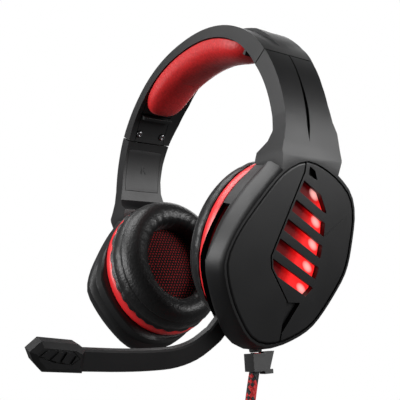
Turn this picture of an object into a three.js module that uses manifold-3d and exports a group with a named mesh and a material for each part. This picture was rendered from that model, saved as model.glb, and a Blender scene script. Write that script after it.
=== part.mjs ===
// Over-ear gaming headset: headband, two sliding arms with closed cups, a swinging microphone boom
// and a braided cable that ends in a tied coil and a plug.
// Millimetres, +Z up, the wearer faces -Y and the wearer's left is +X.
// The origin is the point under the headband cushion that rests on the crown of the head.

import * as THREE from 'three';
import { mergeVertices } from 'three/addons/utils/BufferGeometryUtils.js';
import Module from 'manifold-3d';

const wasm = await Module();
wasm.setup();

// ---------------------------------------------------------------- driving dimensions

const GAP = 0.3; // clearance between pieces that touch
const HEAD_REST_HEIGHT = 115; // head rest above the centre of the cups

// Outer line of the headband in the front view, a superellipse standing on its spring line.
const ARCH = { halfWidth: 90.6, rise: 87, springLine: 47, power: 2.18 };
const SEAM_ANGLE = 32; // where an arm meets the crown, degrees above the spring line
const CUSHION_ANGLE = 48; // where the cushion begins
const SCREW_ANGLE = 36.5; // liner screws
const BAND = { thickness: 9.6, crown: 6, outerWall: 2.4, channelFront: -10, channelBack: 13 };
const SPRING = { inset: 3.6, thickness: 1.4, front: -4, back: 7, tongue: 29 };
const SLIDE_TILT = 21; // the arm slides down and outwards by this angle from the vertical
const CUSHION = { to: 19, front: -11.6, back: 16.4 };
const ARM_FOOT = 24; // lowest height of the arm inside the cup

// The cup's own frame: X outwards, Y backwards, Z up along the leaning cup.
const CUP = { offset: 48.2, tilt: 18.5, bottom: 7.9, rim: 20.5, face: 28.8, wall: 2.4 };
const COVER = { back: 26.7, recess: 26.4, wallBack: 24 };
// Accent ring: half axes, degrees its top leans back, and how far its centre lies in front of and
// above the cup's own.
const OVAL = { width: 39, height: 45, lean: 17, before: 1.1, above: 1.1 };
const RING = { from: 0.8, to: 7.6, thickness: 4.6 };
const PAD = { face: -16, base: -1.1, innerRadius: 27, innerSquash: 0.76 };
const SAMPLES = 52;

// Light slots in the cover.
const SLOTS = { count: 5, first: 31.2, pitch: 11.2, height: 6.4, slope: -0.5 };

// Microphone boom, in the left cup's frame.
const BOOM = { from: 9.3, thickness: 4.8, height: 9.6, slotFrom: 8.9, slotTo: 14.6, hub: 13 };
const BOOM_LOW_ANGLE = 232; // straight root of the boom, degrees from the back
const SLOT_ANGLES = [146, 243];

// Cable.
const CABLE = { radius: 2.6, exit: [45.6, -8, -54.4] };
const COIL = { centre: [43.8, -15.6, -137], mean: 31, radial: 7.8, halfWidth: 10.4 };

// ---------------------------------------------------------------- materials

const finish = (color, roughness, metalness = 0) =>
  new THREE.MeshStandardMaterial({ color, roughness, metalness });

const FINISH = {
  shell: finish(0x1c1c1e, 0.55),
  dark: finish(0x101012, 0.6),
  red: finish(0xd21a1e, 0.38),
  leather: finish(0x151516, 0.5),
  redLeather: finish(0xc4161a, 0.5),
  steel: finish(0xb8bcc0, 0.3, 0.9),
  glow: finish(0xff3326, 0.3),
  board: finish(0x1f5a34, 0.6),
  mesh: finish(0x6e1014, 0.8),
  cone: finish(0xc9c4b8, 0.5),
  braid: finish(0x8a1416, 0.85),
};

// ---------------------------------------------------------------- solids

const radians = THREE.MathUtils.degToRad;
const point = (x, y) => new THREE.Vector2(x, y);

// Shape X, shape Y and depth become this frame's Y, Z and X.
const ALONG_X = new THREE.Matrix4().makeBasis(
  new THREE.Vector3(0, 1, 0), new THREE.Vector3(0, 0, 1), new THREE.Vector3(1, 0, 0),
);

function stripped(geometry) {
  const bare = geometry.clone();
  bare.deleteAttribute('normal');
  bare.deleteAttribute('uv');
  return bare;
}

function toSolid(geometry, matrix = null) {
  const bare = stripped(geometry);
  if (matrix) bare.applyMatrix4(matrix);
  const merged = mergeVertices(bare, 1e-4);
  return new wasm.Manifold(new wasm.Mesh({
    numProp: 3,
    vertProperties: new Float32Array(merged.attributes.position.array),
    triVerts: new Uint32Array(merged.index.array),
  }));
}

function toGeometry(solid) {
  const mesh = solid.getMesh();
  const geometry = new THREE.BufferGeometry();
  geometry.setAttribute('position', new THREE.BufferAttribute(mesh.vertProperties.slice(), 3));
  geometry.setIndex(new THREE.BufferAttribute(mesh.triVerts.slice(), 1));
  geometry.computeVertexNormals();
  return geometry;
}

// A straight prism of a flat outline in the YZ plane, from one X to another.
function prism(points, from, to, bevel = 0) {
  const geometry = new THREE.ExtrudeGeometry(new THREE.Shape(points), {
    depth: to - from - 2 * bevel,
    bevelEnabled: bevel > 0,
    bevelThickness: bevel,
    bevelSize: bevel,
    bevelOffset: -bevel,
    bevelSegments: 1,
    steps: 1,
  });
  geometry.translate(0, 0, from + bevel);
  return toSolid(geometry, ALONG_X);
}

// A straight prism of a flat outline in the XZ plane, from one Y to another.
function crosswise(points, front, back) {
  const geometry = new THREE.ExtrudeGeometry(new THREE.Shape(points), {
    depth: back - front, bevelEnabled: false, steps: 1,
  });
  geometry.rotateX(Math.PI / 2);
  geometry.translate(0, back, 0);
  return toSolid(geometry);
}

// A turned solid about the X axis; the profile is a list of [radius, x].
function turned(profile, segments = 40) {
  const geometry = new THREE.LatheGeometry(profile.map(([r, x]) => point(r, x)), segments);
  geometry.rotateZ(-Math.PI / 2);
  geometry.rotateX(Math.PI / 2);
  return orient(geometry);
}

// A solid with its faces turned outwards whichever way the profile ran.
function orient(geometry) {
  const bare = mergeVertices(stripped(geometry), 1e-4);
  if (signedVolume(bare) < 0) flip(bare);
  return toSolid(bare);
}

function flip(geometry) {
  const index = geometry.index.array;
  for (let i = 0; i < index.length; i += 3) {
    [index[i], index[i + 1]] = [index[i + 1], index[i]];
  }
}

function signedVolume(geometry) {
  const place = geometry.attributes.position;
  const index = geometry.index.array;
  const corners = [0, 1, 2].map(() => new THREE.Vector3());
  let total = 0;
  for (let i = 0; i < index.length; i += 3) {
    corners.forEach((corner, k) => corner.fromBufferAttribute(place, index[i + k]));
    total += corners[0].dot(corners[1].clone().cross(corners[2])) / 6;
  }
  return total;
}

// A closed skin through a stack of outlines with the same number of points.
function loft(rings) {
  const count = rings[0].length;
  const places = [];
  const index = [];
  rings.forEach((ring) => ring.forEach((p) => places.push(p.x, p.y, p.z)));
  for (let level = 0; level < rings.length - 1; level += 1) {
    for (let i = 0; i < count; i += 1) {
      const a = level * count + i;
      const b = level * count + ((i + 1) % count);
      index.push(a, b, b + count, a, b + count, a + count);
    }
  }
  [0, rings.length - 1].forEach((level) => {
    const middle = rings[level].reduce((sum, p) => sum.add(p), new THREE.Vector3());
    middle.divideScalar(count);
    const centre = places.length / 3;
    places.push(middle.x, middle.y, middle.z);
    for (let i = 0; i < count; i += 1) {
      const a = level * count + i;
      const b = level * count + ((i + 1) % count);
      index.push(...(level === 0 ? [centre, b, a] : [centre, a, b]));
    }
  });
  const geometry = new THREE.BufferGeometry();
  geometry.setAttribute('position', new THREE.Float32BufferAttribute(places, 3));
  geometry.setIndex(index);
  return orient(geometry);
}

// Mirrors a left-hand piece for the right side.
function handed(geometry, side) {
  if (side > 0) return geometry;
  const mirrored = geometry.clone();
  mirrored.scale(-1, 1, 1);
  flip(mirrored);
  mirrored.computeVertexNormals();
  return mirrored;
}

function piece(name, solid, material, side = 1) {
  const mesh = new THREE.Mesh(handed(toGeometry(solid), side), material);
  mesh.name = name;
  return mesh;
}

// ---------------------------------------------------------------- headband lines

// A point of the arch in the front view, so far inside its outer line. Angles run from the wearer's
// left spring line, 0 degrees, over the crown, 90, to the right, 180.
function archPoint(degrees, inset) {
  const angle = radians(degrees);
  const { halfWidth, rise, springLine, power } = ARCH;
  const across = Math.sign(Math.cos(angle)) * Math.abs(Math.cos(angle)) ** (2 / power);
  const up = Math.abs(Math.sin(angle)) ** (2 / power);
  const normal = point(
    (Math.sign(across) * Math.abs(across) ** (power - 1)) / halfWidth,
    up ** (power - 1) / rise,
  ).normalize();
  return point(halfWidth * across - inset * normal.x, springLine + rise * up - inset * normal.y);
}

function archLine(from, to, inset, steps = 36) {
  const insetAt = typeof inset === 'function' ? inset : () => inset;
  return Array.from({ length: steps + 1 }, (_, i) => {
    const degrees = from + ((to - from) * i) / steps;
    return archPoint(degrees, insetAt(degrees));
  });
}

// The band is thickest at the seams and thinner over the crown.
const shoulder = (degrees) => ((degrees - 90) / (90 - SEAM_ANGLE)) ** 2;
const rimAt = (degrees) => BAND.crown + (BAND.thickness - BAND.crown) * shoulder(degrees);
const linerAt = (degrees) => rimAt(degrees) - 1.3 - 0.7 * shoulder(degrees);

// A stretch of the band between two insets.
function archStrip(outer, inner, from, to, front, back, steps = 36) {
  const outline = [...archLine(from, to, outer, steps), ...archLine(to, from, inner, steps)];
  return crosswise(outline, front, back);
}

// Side view of the band: arms that flare into the cups, and a wider crown.
const sideView = () => prism([
  point(-15, 12), point(15, 12), point(18, 28), point(19.6, 37), point(19, 42),
  point(18.4, 51), point(16.2, 57), point(15.4, 66), point(16, 78), point(18, 92),
  point(21.4, 104), point(23, 115), point(21.6, 126), point(19, 140), point(-12.5, 140),
  point(-13, 118), point(-14.4, 92), point(-15, 66), point(-15.2, 58), point(-16.2, 50),
  point(-18, 43.5), point(-19.8, 38), point(-18, 28),
], -120, 120);

// A frame on the arch: X along it, Y backwards, Z outwards.
function archFrame(degrees, inset, y) {
  const here = archPoint(degrees, inset);
  const outward = archPoint(degrees, inset - 1).sub(here);
  const z = new THREE.Vector3(outward.x, 0, outward.y);
  const back = new THREE.Vector3(0, 1, 0);
  const x = back.clone().cross(z);
  return new THREE.Matrix4().makeBasis(x, back, z).setPosition(here.x, y, here.y);
}

// A pin along a frame's Z axis: a list of [radius, z].
function pin(profile, frame, segments = 16) {
  const geometry = new THREE.LatheGeometry(profile.map(([r, z]) => point(r, z)), segments);
  geometry.rotateX(Math.PI / 2);
  const bare = mergeVertices(stripped(geometry), 1e-4);
  bare.applyMatrix4(frame);
  if (signedVolume(bare) < 0) flip(bare);
  return toSolid(bare);
}

const rod = (radius, from, to, frame, segments = 16) =>
  pin([[0, from], [radius, from], [radius, to], [0, to]], frame, segments);

const SCREW_ROWS = { front: -7.5, back: 10.5 };
const screwFrames = (inset) => [SCREW_ANGLE, 180 - SCREW_ANGLE].flatMap((degrees) =>
  Object.values(SCREW_ROWS).map((y) => archFrame(degrees, inset, y)));

// ---------------------------------------------------------------- headband pieces

const SEAM_GAP = 0.25; // degrees

// Raised ribs at each end of the crown, on the back half of its outer face.
const RIBS = { top: 2.2, peak: 55, to: 74, rows: [[36, 1, 7.8], [39, 8.6, 15.2], [42, 16, 22.4]] };

function crownRibs() {
  const { top, peak, to, rows } = RIBS;
  return rows.flatMap(([from, front, back]) => [1, -1].map((side) => {
    const rise = (degrees) => {
      const bend = 90 - Math.abs(degrees - 90);
      const part = bend < peak ? (bend - from) / (peak - from) : (to - bend) / (to - peak);
      return 0.2 - (top + 0.2) * THREE.MathUtils.clamp(part, 0, 1);
    };
    const [low, high] = side > 0 ? [from, to] : [180 - to, 180 - from];
    return archStrip(rise, 1.2, low, high, front, back, 12);
  }));
}

function crownShell() {
  const from = SEAM_ANGLE + SEAM_GAP;
  const { thickness, outerWall, channelFront, channelBack } = BAND;
  let shell = archStrip(0, rimAt, from, 180 - from, -30, 30, 40).intersect(sideView());
  crownRibs().forEach((rib) => { shell = shell.add(rib); });
  const reach = from - 3;
  shell = shell.subtract(
    archStrip(outerWall, thickness + 3, reach, 180 - reach, channelFront, channelBack, 40),
  );
  const bossEnd = linerAt(SCREW_ANGLE) - GAP;
  screwFrames(0).forEach((frame) => {
    shell = shell.add(rod(2.3, -bossEnd, -(outerWall - 0.6), frame));
    shell = shell.subtract(rod(1.4, -thickness, -(outerWall + 0.4), frame, 12));
  });
  return shell;
}

// One steel strip under the crown, with a straight tongue at each end for the arm to slide on.
function springBand() {
  const down = slideDirection();
  const seam = archPoint(SEAM_ANGLE, SPRING.inset);
  const end = seam.clone().addScaledVector(down, SPRING.tongue);
  const half = [end, seam, ...archLine(SEAM_ANGLE + 4, 90, SPRING.inset, 18)];
  const rest = half.slice(0, -1).reverse().map((p) => point(-p.x, p.y));
  return crosswise(ribbon([...half, ...rest], SPRING.thickness), SPRING.front, SPRING.back);
}

// The outline of a strip of constant width along a line of points.
function ribbon(line, width) {
  const side = (sign) => line.map((p, i) => {
    const before = line[Math.max(i - 1, 0)];
    const after = line[Math.min(i + 1, line.length - 1)];
    const along = after.clone().sub(before).normalize();
    return point(p.x - (sign * along.y * width) / 2, p.y + (sign * along.x * width) / 2);
  });
  return [...side(-1), ...side(1).reverse()];
}

const slideDirection = () => point(Math.sin(radians(SLIDE_TILT)), -Math.cos(radians(SLIDE_TILT)));

function cushionCarrier() {
  const { channelFront, channelBack } = BAND;
  return archStrip(linerAt, rimAt, CUSHION_ANGLE, 180 - CUSHION_ANGLE,
    channelFront + GAP, channelBack - GAP, 28);
}

function headbandCushion() {
  const half = 90 - CUSHION_ANGLE;
  const upper = (degrees) => rimAt(degrees) + GAP;
  const lower = (degrees) => {
    const off = Math.abs(degrees - 90) / half;
    return upper(degrees) + (CUSHION.to - upper(degrees)) * Math.max(0.25, (1 - off ** 9) ** 0.5);
  };
  const outline = [
    ...archLine(CUSHION_ANGLE, 180 - CUSHION_ANGLE, upper, 26),
    ...archLine(180 - CUSHION_ANGLE, CUSHION_ANGLE, lower, 40),
  ];
  return crosswise(outline, CUSHION.front, CUSHION.back);
}

// Inner face of the crown's end, with a lip that frames the end of the cushion.
function sliderLiner(side) {
  const { channelFront, channelBack } = BAND;
  const low = SEAM_ANGLE + SEAM_GAP;
  const high = CUSHION_ANGLE - 0.3;
  const strip = (outer, inner, from, to, front, back) => (side > 0
    ? archStrip(outer, inner, from, to, front, back, 8)
    : archStrip(outer, inner, 180 - to, 180 - from, front, back, 8));
  let plate = strip(linerAt, rimAt, low, high, channelFront + GAP, channelBack - GAP);
  plate = plate.add(strip(
    (degrees) => rimAt(degrees) - 0.8, (degrees) => rimAt(degrees) + 4.5, high - 1.7, high,
    channelFront + GAP, channelBack - GAP,
  ));
  screwFrames(rimAt(SCREW_ANGLE)).forEach((frame) => {
    plate = plate.subtract(rod(1.4, -1, 4, frame, 12));
    plate = plate.subtract(rod(2.6, -1, 0.9, frame));
  });
  return plate;
}

const linerScrew = (frame) =>
  pin([[0, -0.1], [2.2, -0.1], [2.2, 0.9], [1.05, 0.9], [1.05, 5.6], [0, 5.6]], frame);

// ---------------------------------------------------------------- cup outlines

// Housing at its widest and the cover on its face, as the wearer's left side shows them:
// first coordinate backwards, second up along the cup.
const HOUSING_POINTS = [
  [-14, 50], [-21, 41], [-29, 31.5], [-39.5, 16], [-46.5, 2], [-48.5, -6], [-46, -15], [-38, -32],
  [-30, -43], [-22, -47.5], [-14, -48.6], [-4, -47], [5, -44], [18, -36], [30, -21], [36.5, -7],
  [38, 8], [36.5, 22], [30, 32], [21, 41], [14, 50], [0, 52],
];
const COVER_POINTS = [
  [-3, 45.6], [-9, 44], [-17.5, 38.5], [-28.5, 25], [-38.8, 9.5], [-43, -1], [-43.2, -7],
  [-38.5, -19.5], [-32, -30], [-24, -39.3], [-17, -42.8], [-8, -43.2], [2, -40.6], [14, -34.3],
  [26.5, -17.8], [32, -7], [33.4, 8], [32.6, 22], [28.5, 31], [18.5, 38.7], [6, 44],
];

const CENTRE = point(-3, 0);

const smooth = (points) => new THREE.CatmullRomCurve3(
  points.map(([u, v]) => new THREE.Vector3(u, v, 0)), true, 'centripetal',
).getPoints(240).map((p) => point(p.x, p.y));

// A point of the oval, leaning and moved off the cup's centre by a share of the oval's own shift.
function leaning(u, v, share) {
  const lean = radians(OVAL.lean);
  return point(
    u * Math.cos(lean) + v * Math.sin(lean) - OVAL.before * share,
    v * Math.cos(lean) - u * Math.sin(lean) + OVAL.above * share,
  );
}

const oval = (width, height) => Array.from({ length: 180 }, (_, i) => {
  const angle = (i / 180) * 2 * Math.PI;
  return leaning(width * Math.cos(angle), height * Math.sin(angle), 1);
});

// How far an outline lies from the cup's centre in each of the sampled directions.
function radii(outline) {
  return Array.from({ length: SAMPLES }, (_, i) => {
    const angle = (i / SAMPLES) * 2 * Math.PI;
    const ray = point(Math.cos(angle), Math.sin(angle));
    let best = 0;
    outline.forEach((p, k) => {
      const a = p.clone().sub(CENTRE);
      const edge = outline[(k + 1) % outline.length].clone().sub(p);
      const cross = ray.cross(edge);
      if (Math.abs(cross) < 1e-9) return;
      const along = a.cross(edge) / cross;
      const part = a.cross(ray) / cross;
      if (part >= 0 && part <= 1 && along > best) best = along;
    });
    return best;
  });
}

const RADII = {
  housing: radii(smooth(HOUSING_POINTS)),
  cover: radii(smooth(COVER_POINTS)),
  ring: radii(oval(OVAL.width - 0.4, OVAL.height - 0.4)),
};

// A ring of points at one depth of the cup, grown or shrunk by so much.
const level = (distances, depth, grow = 0) => distances.map((radius, i) => {
  const angle = (i / SAMPLES) * 2 * Math.PI;
  const reach = radius + grow;
  return new THREE.Vector3(
    depth, CENTRE.x + reach * Math.cos(angle), CENTRE.y + reach * Math.sin(angle),
  );
});

const between = (a, b, part) => a.map((value, i) => value + (b[i] - value) * part);

const cupFrame = () => new THREE.Matrix4()
  .makeRotationY(radians(CUP.tilt)).setPosition(CUP.offset, 0, 0);

const placed = (solid, matrix) => toSolid(toGeometry(solid), matrix);

// ---------------------------------------------------------------- arm and cup housing

// The side wall, upwards from its lower edge: rise, and share of the way from the accent ring's
// outline to the housing's. It steps out at once, runs straight past the boom's slot and flares.
const WALL = [[0, 0.3], [1, 0.56], [7.3, 0.6], [8.8, 0.84], [10.6, 1]];

const wallLevels = (grow) => WALL.map(([rise, share]) =>
  level(between(RADII.ring, RADII.housing, share), CUP.bottom + rise, grow));

const housingBody = () => loft([
  ...wallLevels(0),
  level(RADII.housing, CUP.rim),
  level(between(RADII.housing, RADII.cover, 0.72), CUP.face - 2.4, 1.9),
  level(RADII.cover, CUP.face - 0.5, 2.1),
  level(RADII.cover, CUP.face, 1.5),
]);

const housingCavity = () => loft([
  level(RADII.ring, CUP.bottom - 2, -CUP.wall),
  ...wallLevels(-CUP.wall),
  level(RADII.cover, COVER.wallBack, -1),
]);

// The field of light slots, left of the rear plate's solid part.
const slotField = (shrink) => [
  point(-3.6 + shrink, 37.5 - shrink), point(6.6 - shrink / 2, 32.6 - shrink),
  point(13.2 - shrink, 22.6), point(14.2 - shrink, 8), point(13.2 - shrink, -8),
  point(11 - shrink, -16.6), point(5.6 - shrink, -22 + shrink), point(-2.6, -22.4 + shrink),
  point(-16 + shrink, -6.4 + shrink / 2), point(-17.2 + shrink, -0.6),
];

function armBody() {
  const { halfWidth, springLine } = ARCH;
  const to = SEAM_ANGLE - SEAM_GAP;
  const outline = [
    point(halfWidth, ARM_FOOT), ...archLine(0, to, 0, 16), ...archLine(to, 0, BAND.thickness, 16),
    point(halfWidth - BAND.thickness, springLine + 4), point(78, springLine - 1),
    point(70.5, springLine - 5), point(70, ARM_FOOT),
  ];
  return crosswise(outline, -30, 30).intersect(sideView());
}

// Straight pocket for the spring band's tongue.
function tongueChannel() {
  const down = slideDirection();
  const seam = archPoint(SEAM_ANGLE, SPRING.inset);
  const line = [-4, SPRING.tongue + 2].map((t) => seam.clone().addScaledVector(down, t));
  return crosswise(ribbon(line, SPRING.thickness + 1), SPRING.front - 0.5, SPRING.back + 0.5);
}

const INLAY = 0.12; // clearance round a piece let into another
const INNER_COVER = { from: 7.6, front: -12.8, back: 13.2, low: 6.5, high: 27.5 };

function innerCoverOutline(grow) {
  const { from, low, high } = INNER_COVER;
  const reach = BAND.thickness + (grow > 0 ? 2 : 0);
  return [
    ...archLine(low - grow, high + grow, from - grow, 10),
    ...archLine(high + grow, low - grow, reach, 10),
  ];
}

function armHousing(side) {
  const cup = cupFrame();
  const faceCut = placed(prism([
    point(-60, -80), point(60, -80), point(60, 110), point(-60, 110),
  ], CUP.face, CUP.face + 60), cup);
  let shell = armBody().subtract(faceCut).add(placed(housingBody(), cup));
  shell = shell.subtract(placed(housingCavity(), cup));
  shell = shell.subtract(placed(
    loft([level(RADII.cover, COVER.recess, 0.35), level(RADII.cover, CUP.face + 2, 0.35)]), cup,
  ));
  shell = shell.subtract(placed(prism(slotField(-GAP), COVER.wallBack - 3, CUP.face), cup));
  shell = shell.subtract(tongueChannel());
  shell = shell.subtract(
    crosswise(innerCoverOutline(INLAY), INNER_COVER.front - INLAY, INNER_COVER.back + INLAY),
  );
  shell = shell.subtract(grooveCutter());
  boardPosts().forEach((post) => { shell = shell.add(placed(post, cup)); });
  if (side > 0) {
    shell = shell.subtract(placed(boomSlot(), cup));
    shell = shell.subtract(cableHole());
  }
  return shell;
}

// A shallow groove down the arm's outer face, widest low down and pointed at its foot.
function grooveCutter() {
  const depth = 1.3;
  const outline = [
    point(ARCH.halfWidth + 2, 38), ...archLine(0, SEAM_ANGLE + 2, -2, 12),
    ...archLine(SEAM_ANGLE + 2, 0, depth, 12), point(ARCH.halfWidth - depth, 38),
  ];
  const sides = prism([
    point(2.6, 101), point(0, 78), point(-1.5, 61), point(-2.1, 52), point(-1.6, 44),
    point(-0.2, 52), point(0.7, 61), point(1.1, 78), point(3.4, 101),
  ], 60, 120);
  return crosswise(outline, -6, 6).intersect(sides);
}

const BOARD = { from: 18.4, to: 19.8 };
const POSTS = [[18, 20], [-22, -12]];
const across = () => new THREE.Matrix4().makeRotationY(Math.PI / 2);

const boardPosts = () => POSTS.map(([u, v]) => {
  const frame = across().premultiply(new THREE.Matrix4().makeTranslation(0, u, v));
  return rod(1.8, BOARD.to + GAP, COVER.wallBack + 0.6, frame, 12);
});

function boomSlot() {
  const reach = 70;
  const [from, to] = SLOT_ANGLES.map(radians);
  const steps = 8;
  const fan = Array.from({ length: steps + 1 }, (_, i) => {
    const angle = from + ((to - from) * i) / steps;
    return point(reach * Math.cos(angle), reach * Math.sin(angle));
  });
  return prism([point(-4, -4), ...fan], BOOM.slotFrom, BOOM.slotTo);
}

function cableHole() {
  const [x, y, z] = CABLE.exit;
  const frame = new THREE.Matrix4().makeTranslation(x, y, z);
  return rod(CABLE.radius + 1.2, -2, 16, frame, 20);
}

const innerCover = () =>
  crosswise(innerCoverOutline(0), INNER_COVER.front, INNER_COVER.back);

// ---------------------------------------------------------------- cover plates and light

const coverDisc = () => loft([
  level(RADII.cover, COVER.back), level(RADII.cover, CUP.face - 0.6),
  level(RADII.cover, CUP.face, -0.8),
]);

// Where the front and rear plates part, shifted back by so much.
const parting = (shift) => [
  point(-4.6 + shift, 60), point(-4.6 + shift, 40.5), point(-18.6 + shift, -0.7),
  point(-17.4 + shift, -6.6), point(-4.6 + shift, -22.8), point(-7.2 + shift, -60),
];

const frontPlate = () => coverDisc().intersect(
  prism([...parting(0), point(-70, -60), point(-70, 60)].reverse(), 20, 40),
);

// Two recesses at the ends of the row of slots: a small triangle on top and a wedge at the foot.
const TOP_RECESS = [point(-1.3, 43.4), point(-1.9, 39.4), point(4.6, 37.2), point(2.2, 41.6)];
const FOOT_RECESS = [point(-8, -23.2), point(4.2, -23.6), point(-5.2, -38.5), point(-8, -38.5)];

function rearPlate() {
  let plate = coverDisc().intersect(
    prism([...parting(0.6), point(70, -60), point(70, 60)], 20, 40),
  );
  const field = prism(slotField(0), 20, 40);
  for (let i = 0; i < SLOTS.count; i += 1) {
    const { slope, height } = SLOTS;
    const top = SLOTS.first - i * SLOTS.pitch + height / 2;
    const slot = prism([
      point(-30, top - 30 * slope), point(-30, top - 30 * slope - height),
      point(30, top + 30 * slope - height), point(30, top + 30 * slope),
    ], 20, 40);
    plate = plate.subtract(slot.intersect(field));
  }
  [TOP_RECESS, FOOT_RECESS].forEach((recess) => {
    plate = plate.subtract(prism([...recess].reverse(), 20, 40));
  });
  return plate;
}

const lightGuide = () => prism(slotField(0.3), COVER.wallBack + 0.3, COVER.recess - 0.3);

function ledBoard() {
  let board = prism([
    point(-4, 36), point(-24, -8), point(-22, -16), point(-6, -26), point(10, -24),
    point(22, 16), point(20, 26), point(8, 36),
  ], BOARD.from, BOARD.to, 0.2);
  for (let i = 0; i < SLOTS.count; i += 1) {
    const v = SLOTS.first - i * SLOTS.pitch - 4;
    const u = 8.6 - 0.7 * i;
    board = board.add(prism([
      point(u - 2, v - 1.6), point(u + 2, v - 1.6), point(u + 2, v + 1.6), point(u - 2, v + 1.6),
    ], BOARD.to - 0.3, BOARD.to + 1.6));
  }
  return board;
}

// ---------------------------------------------------------------- inside the cup

// Squeezes a round piece into the cup's leaning oval; its rim is shifted with the oval.
function ovalise(solid, inner = OVAL.width / OVAL.height, innerRadius = 0, rim = OVAL.height) {
  const geometry = toGeometry(solid);
  const place = geometry.attributes.position;
  const outer = OVAL.width / OVAL.height;
  for (let i = 0; i < place.count; i += 1) {
    const radius = Math.hypot(place.getY(i), place.getZ(i));
    const part = THREE.MathUtils.clamp((radius - innerRadius) / (rim - innerRadius), 0, 1);
    const spot = leaning(place.getY(i) * (inner + (outer - inner) * part), place.getZ(i), part);
    place.setY(i, spot.x);
    place.setZ(i, spot.y);
  }
  return toSolid(geometry);
}

function accentRing() {
  const { height } = OVAL;
  const { from, to, thickness } = RING;
  const inside = height - thickness;
  return ovalise(turned([
    [inside, from], [height - 1, from], [height, from + 1.1], [height, to - 1.1], [height - 1, to],
    [inside, to], [inside, from],
  ], 56));
}

// Closed cup behind the driver; it carries the boom's pivot boss on the microphone side.
function innerCup(withBoss) {
  const [rim, floor, top] = [3.4, 6.9, 8];
  const outside = OVAL.height - RING.thickness - 0.5;
  let cup = ovalise(turned([
    [0, floor], [outside - 2, floor], [outside - 2, rim], [outside, rim], [outside, top], [0, top],
  ], 44));
  if (withBoss) cup = cup.add(rod(4, floor + 0.4, 12.4, across(), 24));
  return cup;
}

const BAFFLE_RADIUS = OVAL.height - RING.thickness - 0.5;

const baffle = () => ovalise(turned([
  [20.8, 1.2], [BAFFLE_RADIUS, 1.2], [BAFFLE_RADIUS, 2.6], [20.8, 2.6], [20.8, 1.2],
], 44), 1, 20.8, BAFFLE_RADIUS);

const driverBasket = () => turned([
  [0, 4.2], [9, 4.2], [9, 5.2], [17, 5.2], [20, 2.9], [22.6, 2.9], [22.6, 3.7], [20.4, 3.7],
  [17.6, 5.9], [12.4, 5.9], [12.4, 6.6], [0, 6.6],
], 36);

const diaphragm = () => turned([
  [0, 1.5], [7, 2.1], [19.6, 1.4], [20.2, 1.4], [20.2, 2], [19.6, 2], [7, 2.9], [0, 2.4],
], 36);

const speakerMesh = () => ovalise(
  turned([[0, 0.3], [30, 0.3], [30, 0.9], [0, 0.9]], 36), PAD.innerSquash, 26,
);

function earPad() {
  const { face, base, innerRadius } = PAD;
  const outer = OVAL.height - 1;
  return ovalise(turned([
    [innerRadius + 1.8, base + 0.9], [innerRadius, base - 3.5], [innerRadius, face + 4.5],
    [innerRadius + 1.4, face + 1.4], [innerRadius + 4.6, face], [outer - 5.6, face],
    [outer - 2, face + 2], [outer, face + 6], [outer, base - 1.6],
    [outer - 0.5, RING.from - 0.4], [outer - 7, RING.from - 0.4], [outer - 8.4, base + 0.9],
    [innerRadius + 1.8, base + 0.9],
  ], 56), PAD.innerSquash, innerRadius);
}

// ---------------------------------------------------------------- microphone boom

const boomHub = () => turned([
  [4.4, BOOM.from], [BOOM.hub, BOOM.from], [BOOM.hub, BOOM.from + 4.3], [4.4, BOOM.from + 4.3],
  [4.4, BOOM.from],
], 36);

// Centreline of the boom: a straight root out of the hub, then a bend forwards.
function boomLine() {
  const angle = radians(BOOM_LOW_ANGLE);
  const root = point(Math.cos(angle), Math.sin(angle));
  const start = root.clone().multiplyScalar(BOOM.hub - 3);
  const knee = root.clone().multiplyScalar(54);
  const curve = new THREE.SplineCurve([
    knee, point(-43, -49.2), point(-54, -52.4), point(-67, -52.8), point(-83, -52),
    point(-101.5, -50.3),
  ]);
  return [start, ...curve.getPoints(18)];
}

function boomArm() {
  const solid = prism(ribbon(boomLine(), BOOM.height), BOOM.from, BOOM.from + BOOM.thickness, 0.8);
  return solid.add(boomHub()).subtract(rod(4.4, 0, 30, across(), 36));
}

const MIC_HEAD = [
  [-100.4, -45.4], [-104.5, -42.8], [-120, -40.6], [-124.6, -44.8], [-122.4, -49.4],
  [-118.6, -53.4], [-101, -55.4],
];
const HEAD_FROM = 6.2;
const HEAD_TO = 16.8;

function headOutline(grow) {
  const middle = point(-112, -48);
  return MIC_HEAD.map(([u, v]) => {
    const off = point(u, v).sub(middle);
    return off.multiplyScalar(1 + grow / off.length()).add(middle);
  });
}

const capsuleFrame = () => across().premultiply(new THREE.Matrix4().makeTranslation(0, -113, -47.5));

function micHead() {
  let head = prism(headOutline(0), HEAD_FROM, HEAD_TO, 2.2);
  head = head.subtract(rod(3.6, HEAD_FROM - 1, HEAD_FROM + 6, capsuleFrame(), 24));
  const boom = prism(ribbon(boomLine(), BOOM.height + 2 * GAP), BOOM.from - GAP,
    BOOM.from + BOOM.thickness + GAP);
  head = head.subtract(boom);
  return head.subtract(prism(grillePanel(GAP), HEAD_TO - 1.3, HEAD_TO + 2));
}

const micCapsule = () => rod(3.3, HEAD_FROM + 0.4, HEAD_FROM + 5.6, capsuleFrame(), 24);

const GRILLE = [
  [-121.1, -46.3], [-117.6, -43.7], [-106.9, -45.1], [-103.7, -48.3], [-107.1, -50.7], [-114.5, -48.9],
];
const GRILLE_RIBS = [
  [[-120.7, -46.1], [-118.4, -44.1], [-117.2, -44.2], [-118.2, -46.4]],
  [[-116.4, -47.6], [-113.1, -44.6], [-111.6, -44.8], [-113.4, -48.6]],
  [[-111.7, -48.8], [-109.7, -45.1], [-107.3, -45.4], [-109.4, -49.6]],
  [[-107.5, -50.1], [-105.4, -46.9], [-104.2, -48.2]],
];

const outlineOf = (pairs) => pairs.map(([u, v]) => point(u, v));

function grillePanel(grow) {
  const middle = point(-112.5, -47.1);
  return outlineOf(GRILLE).map((p) => {
    const off = p.sub(middle);
    return off.multiplyScalar(1 + grow / off.length()).add(middle);
  });
}

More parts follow.
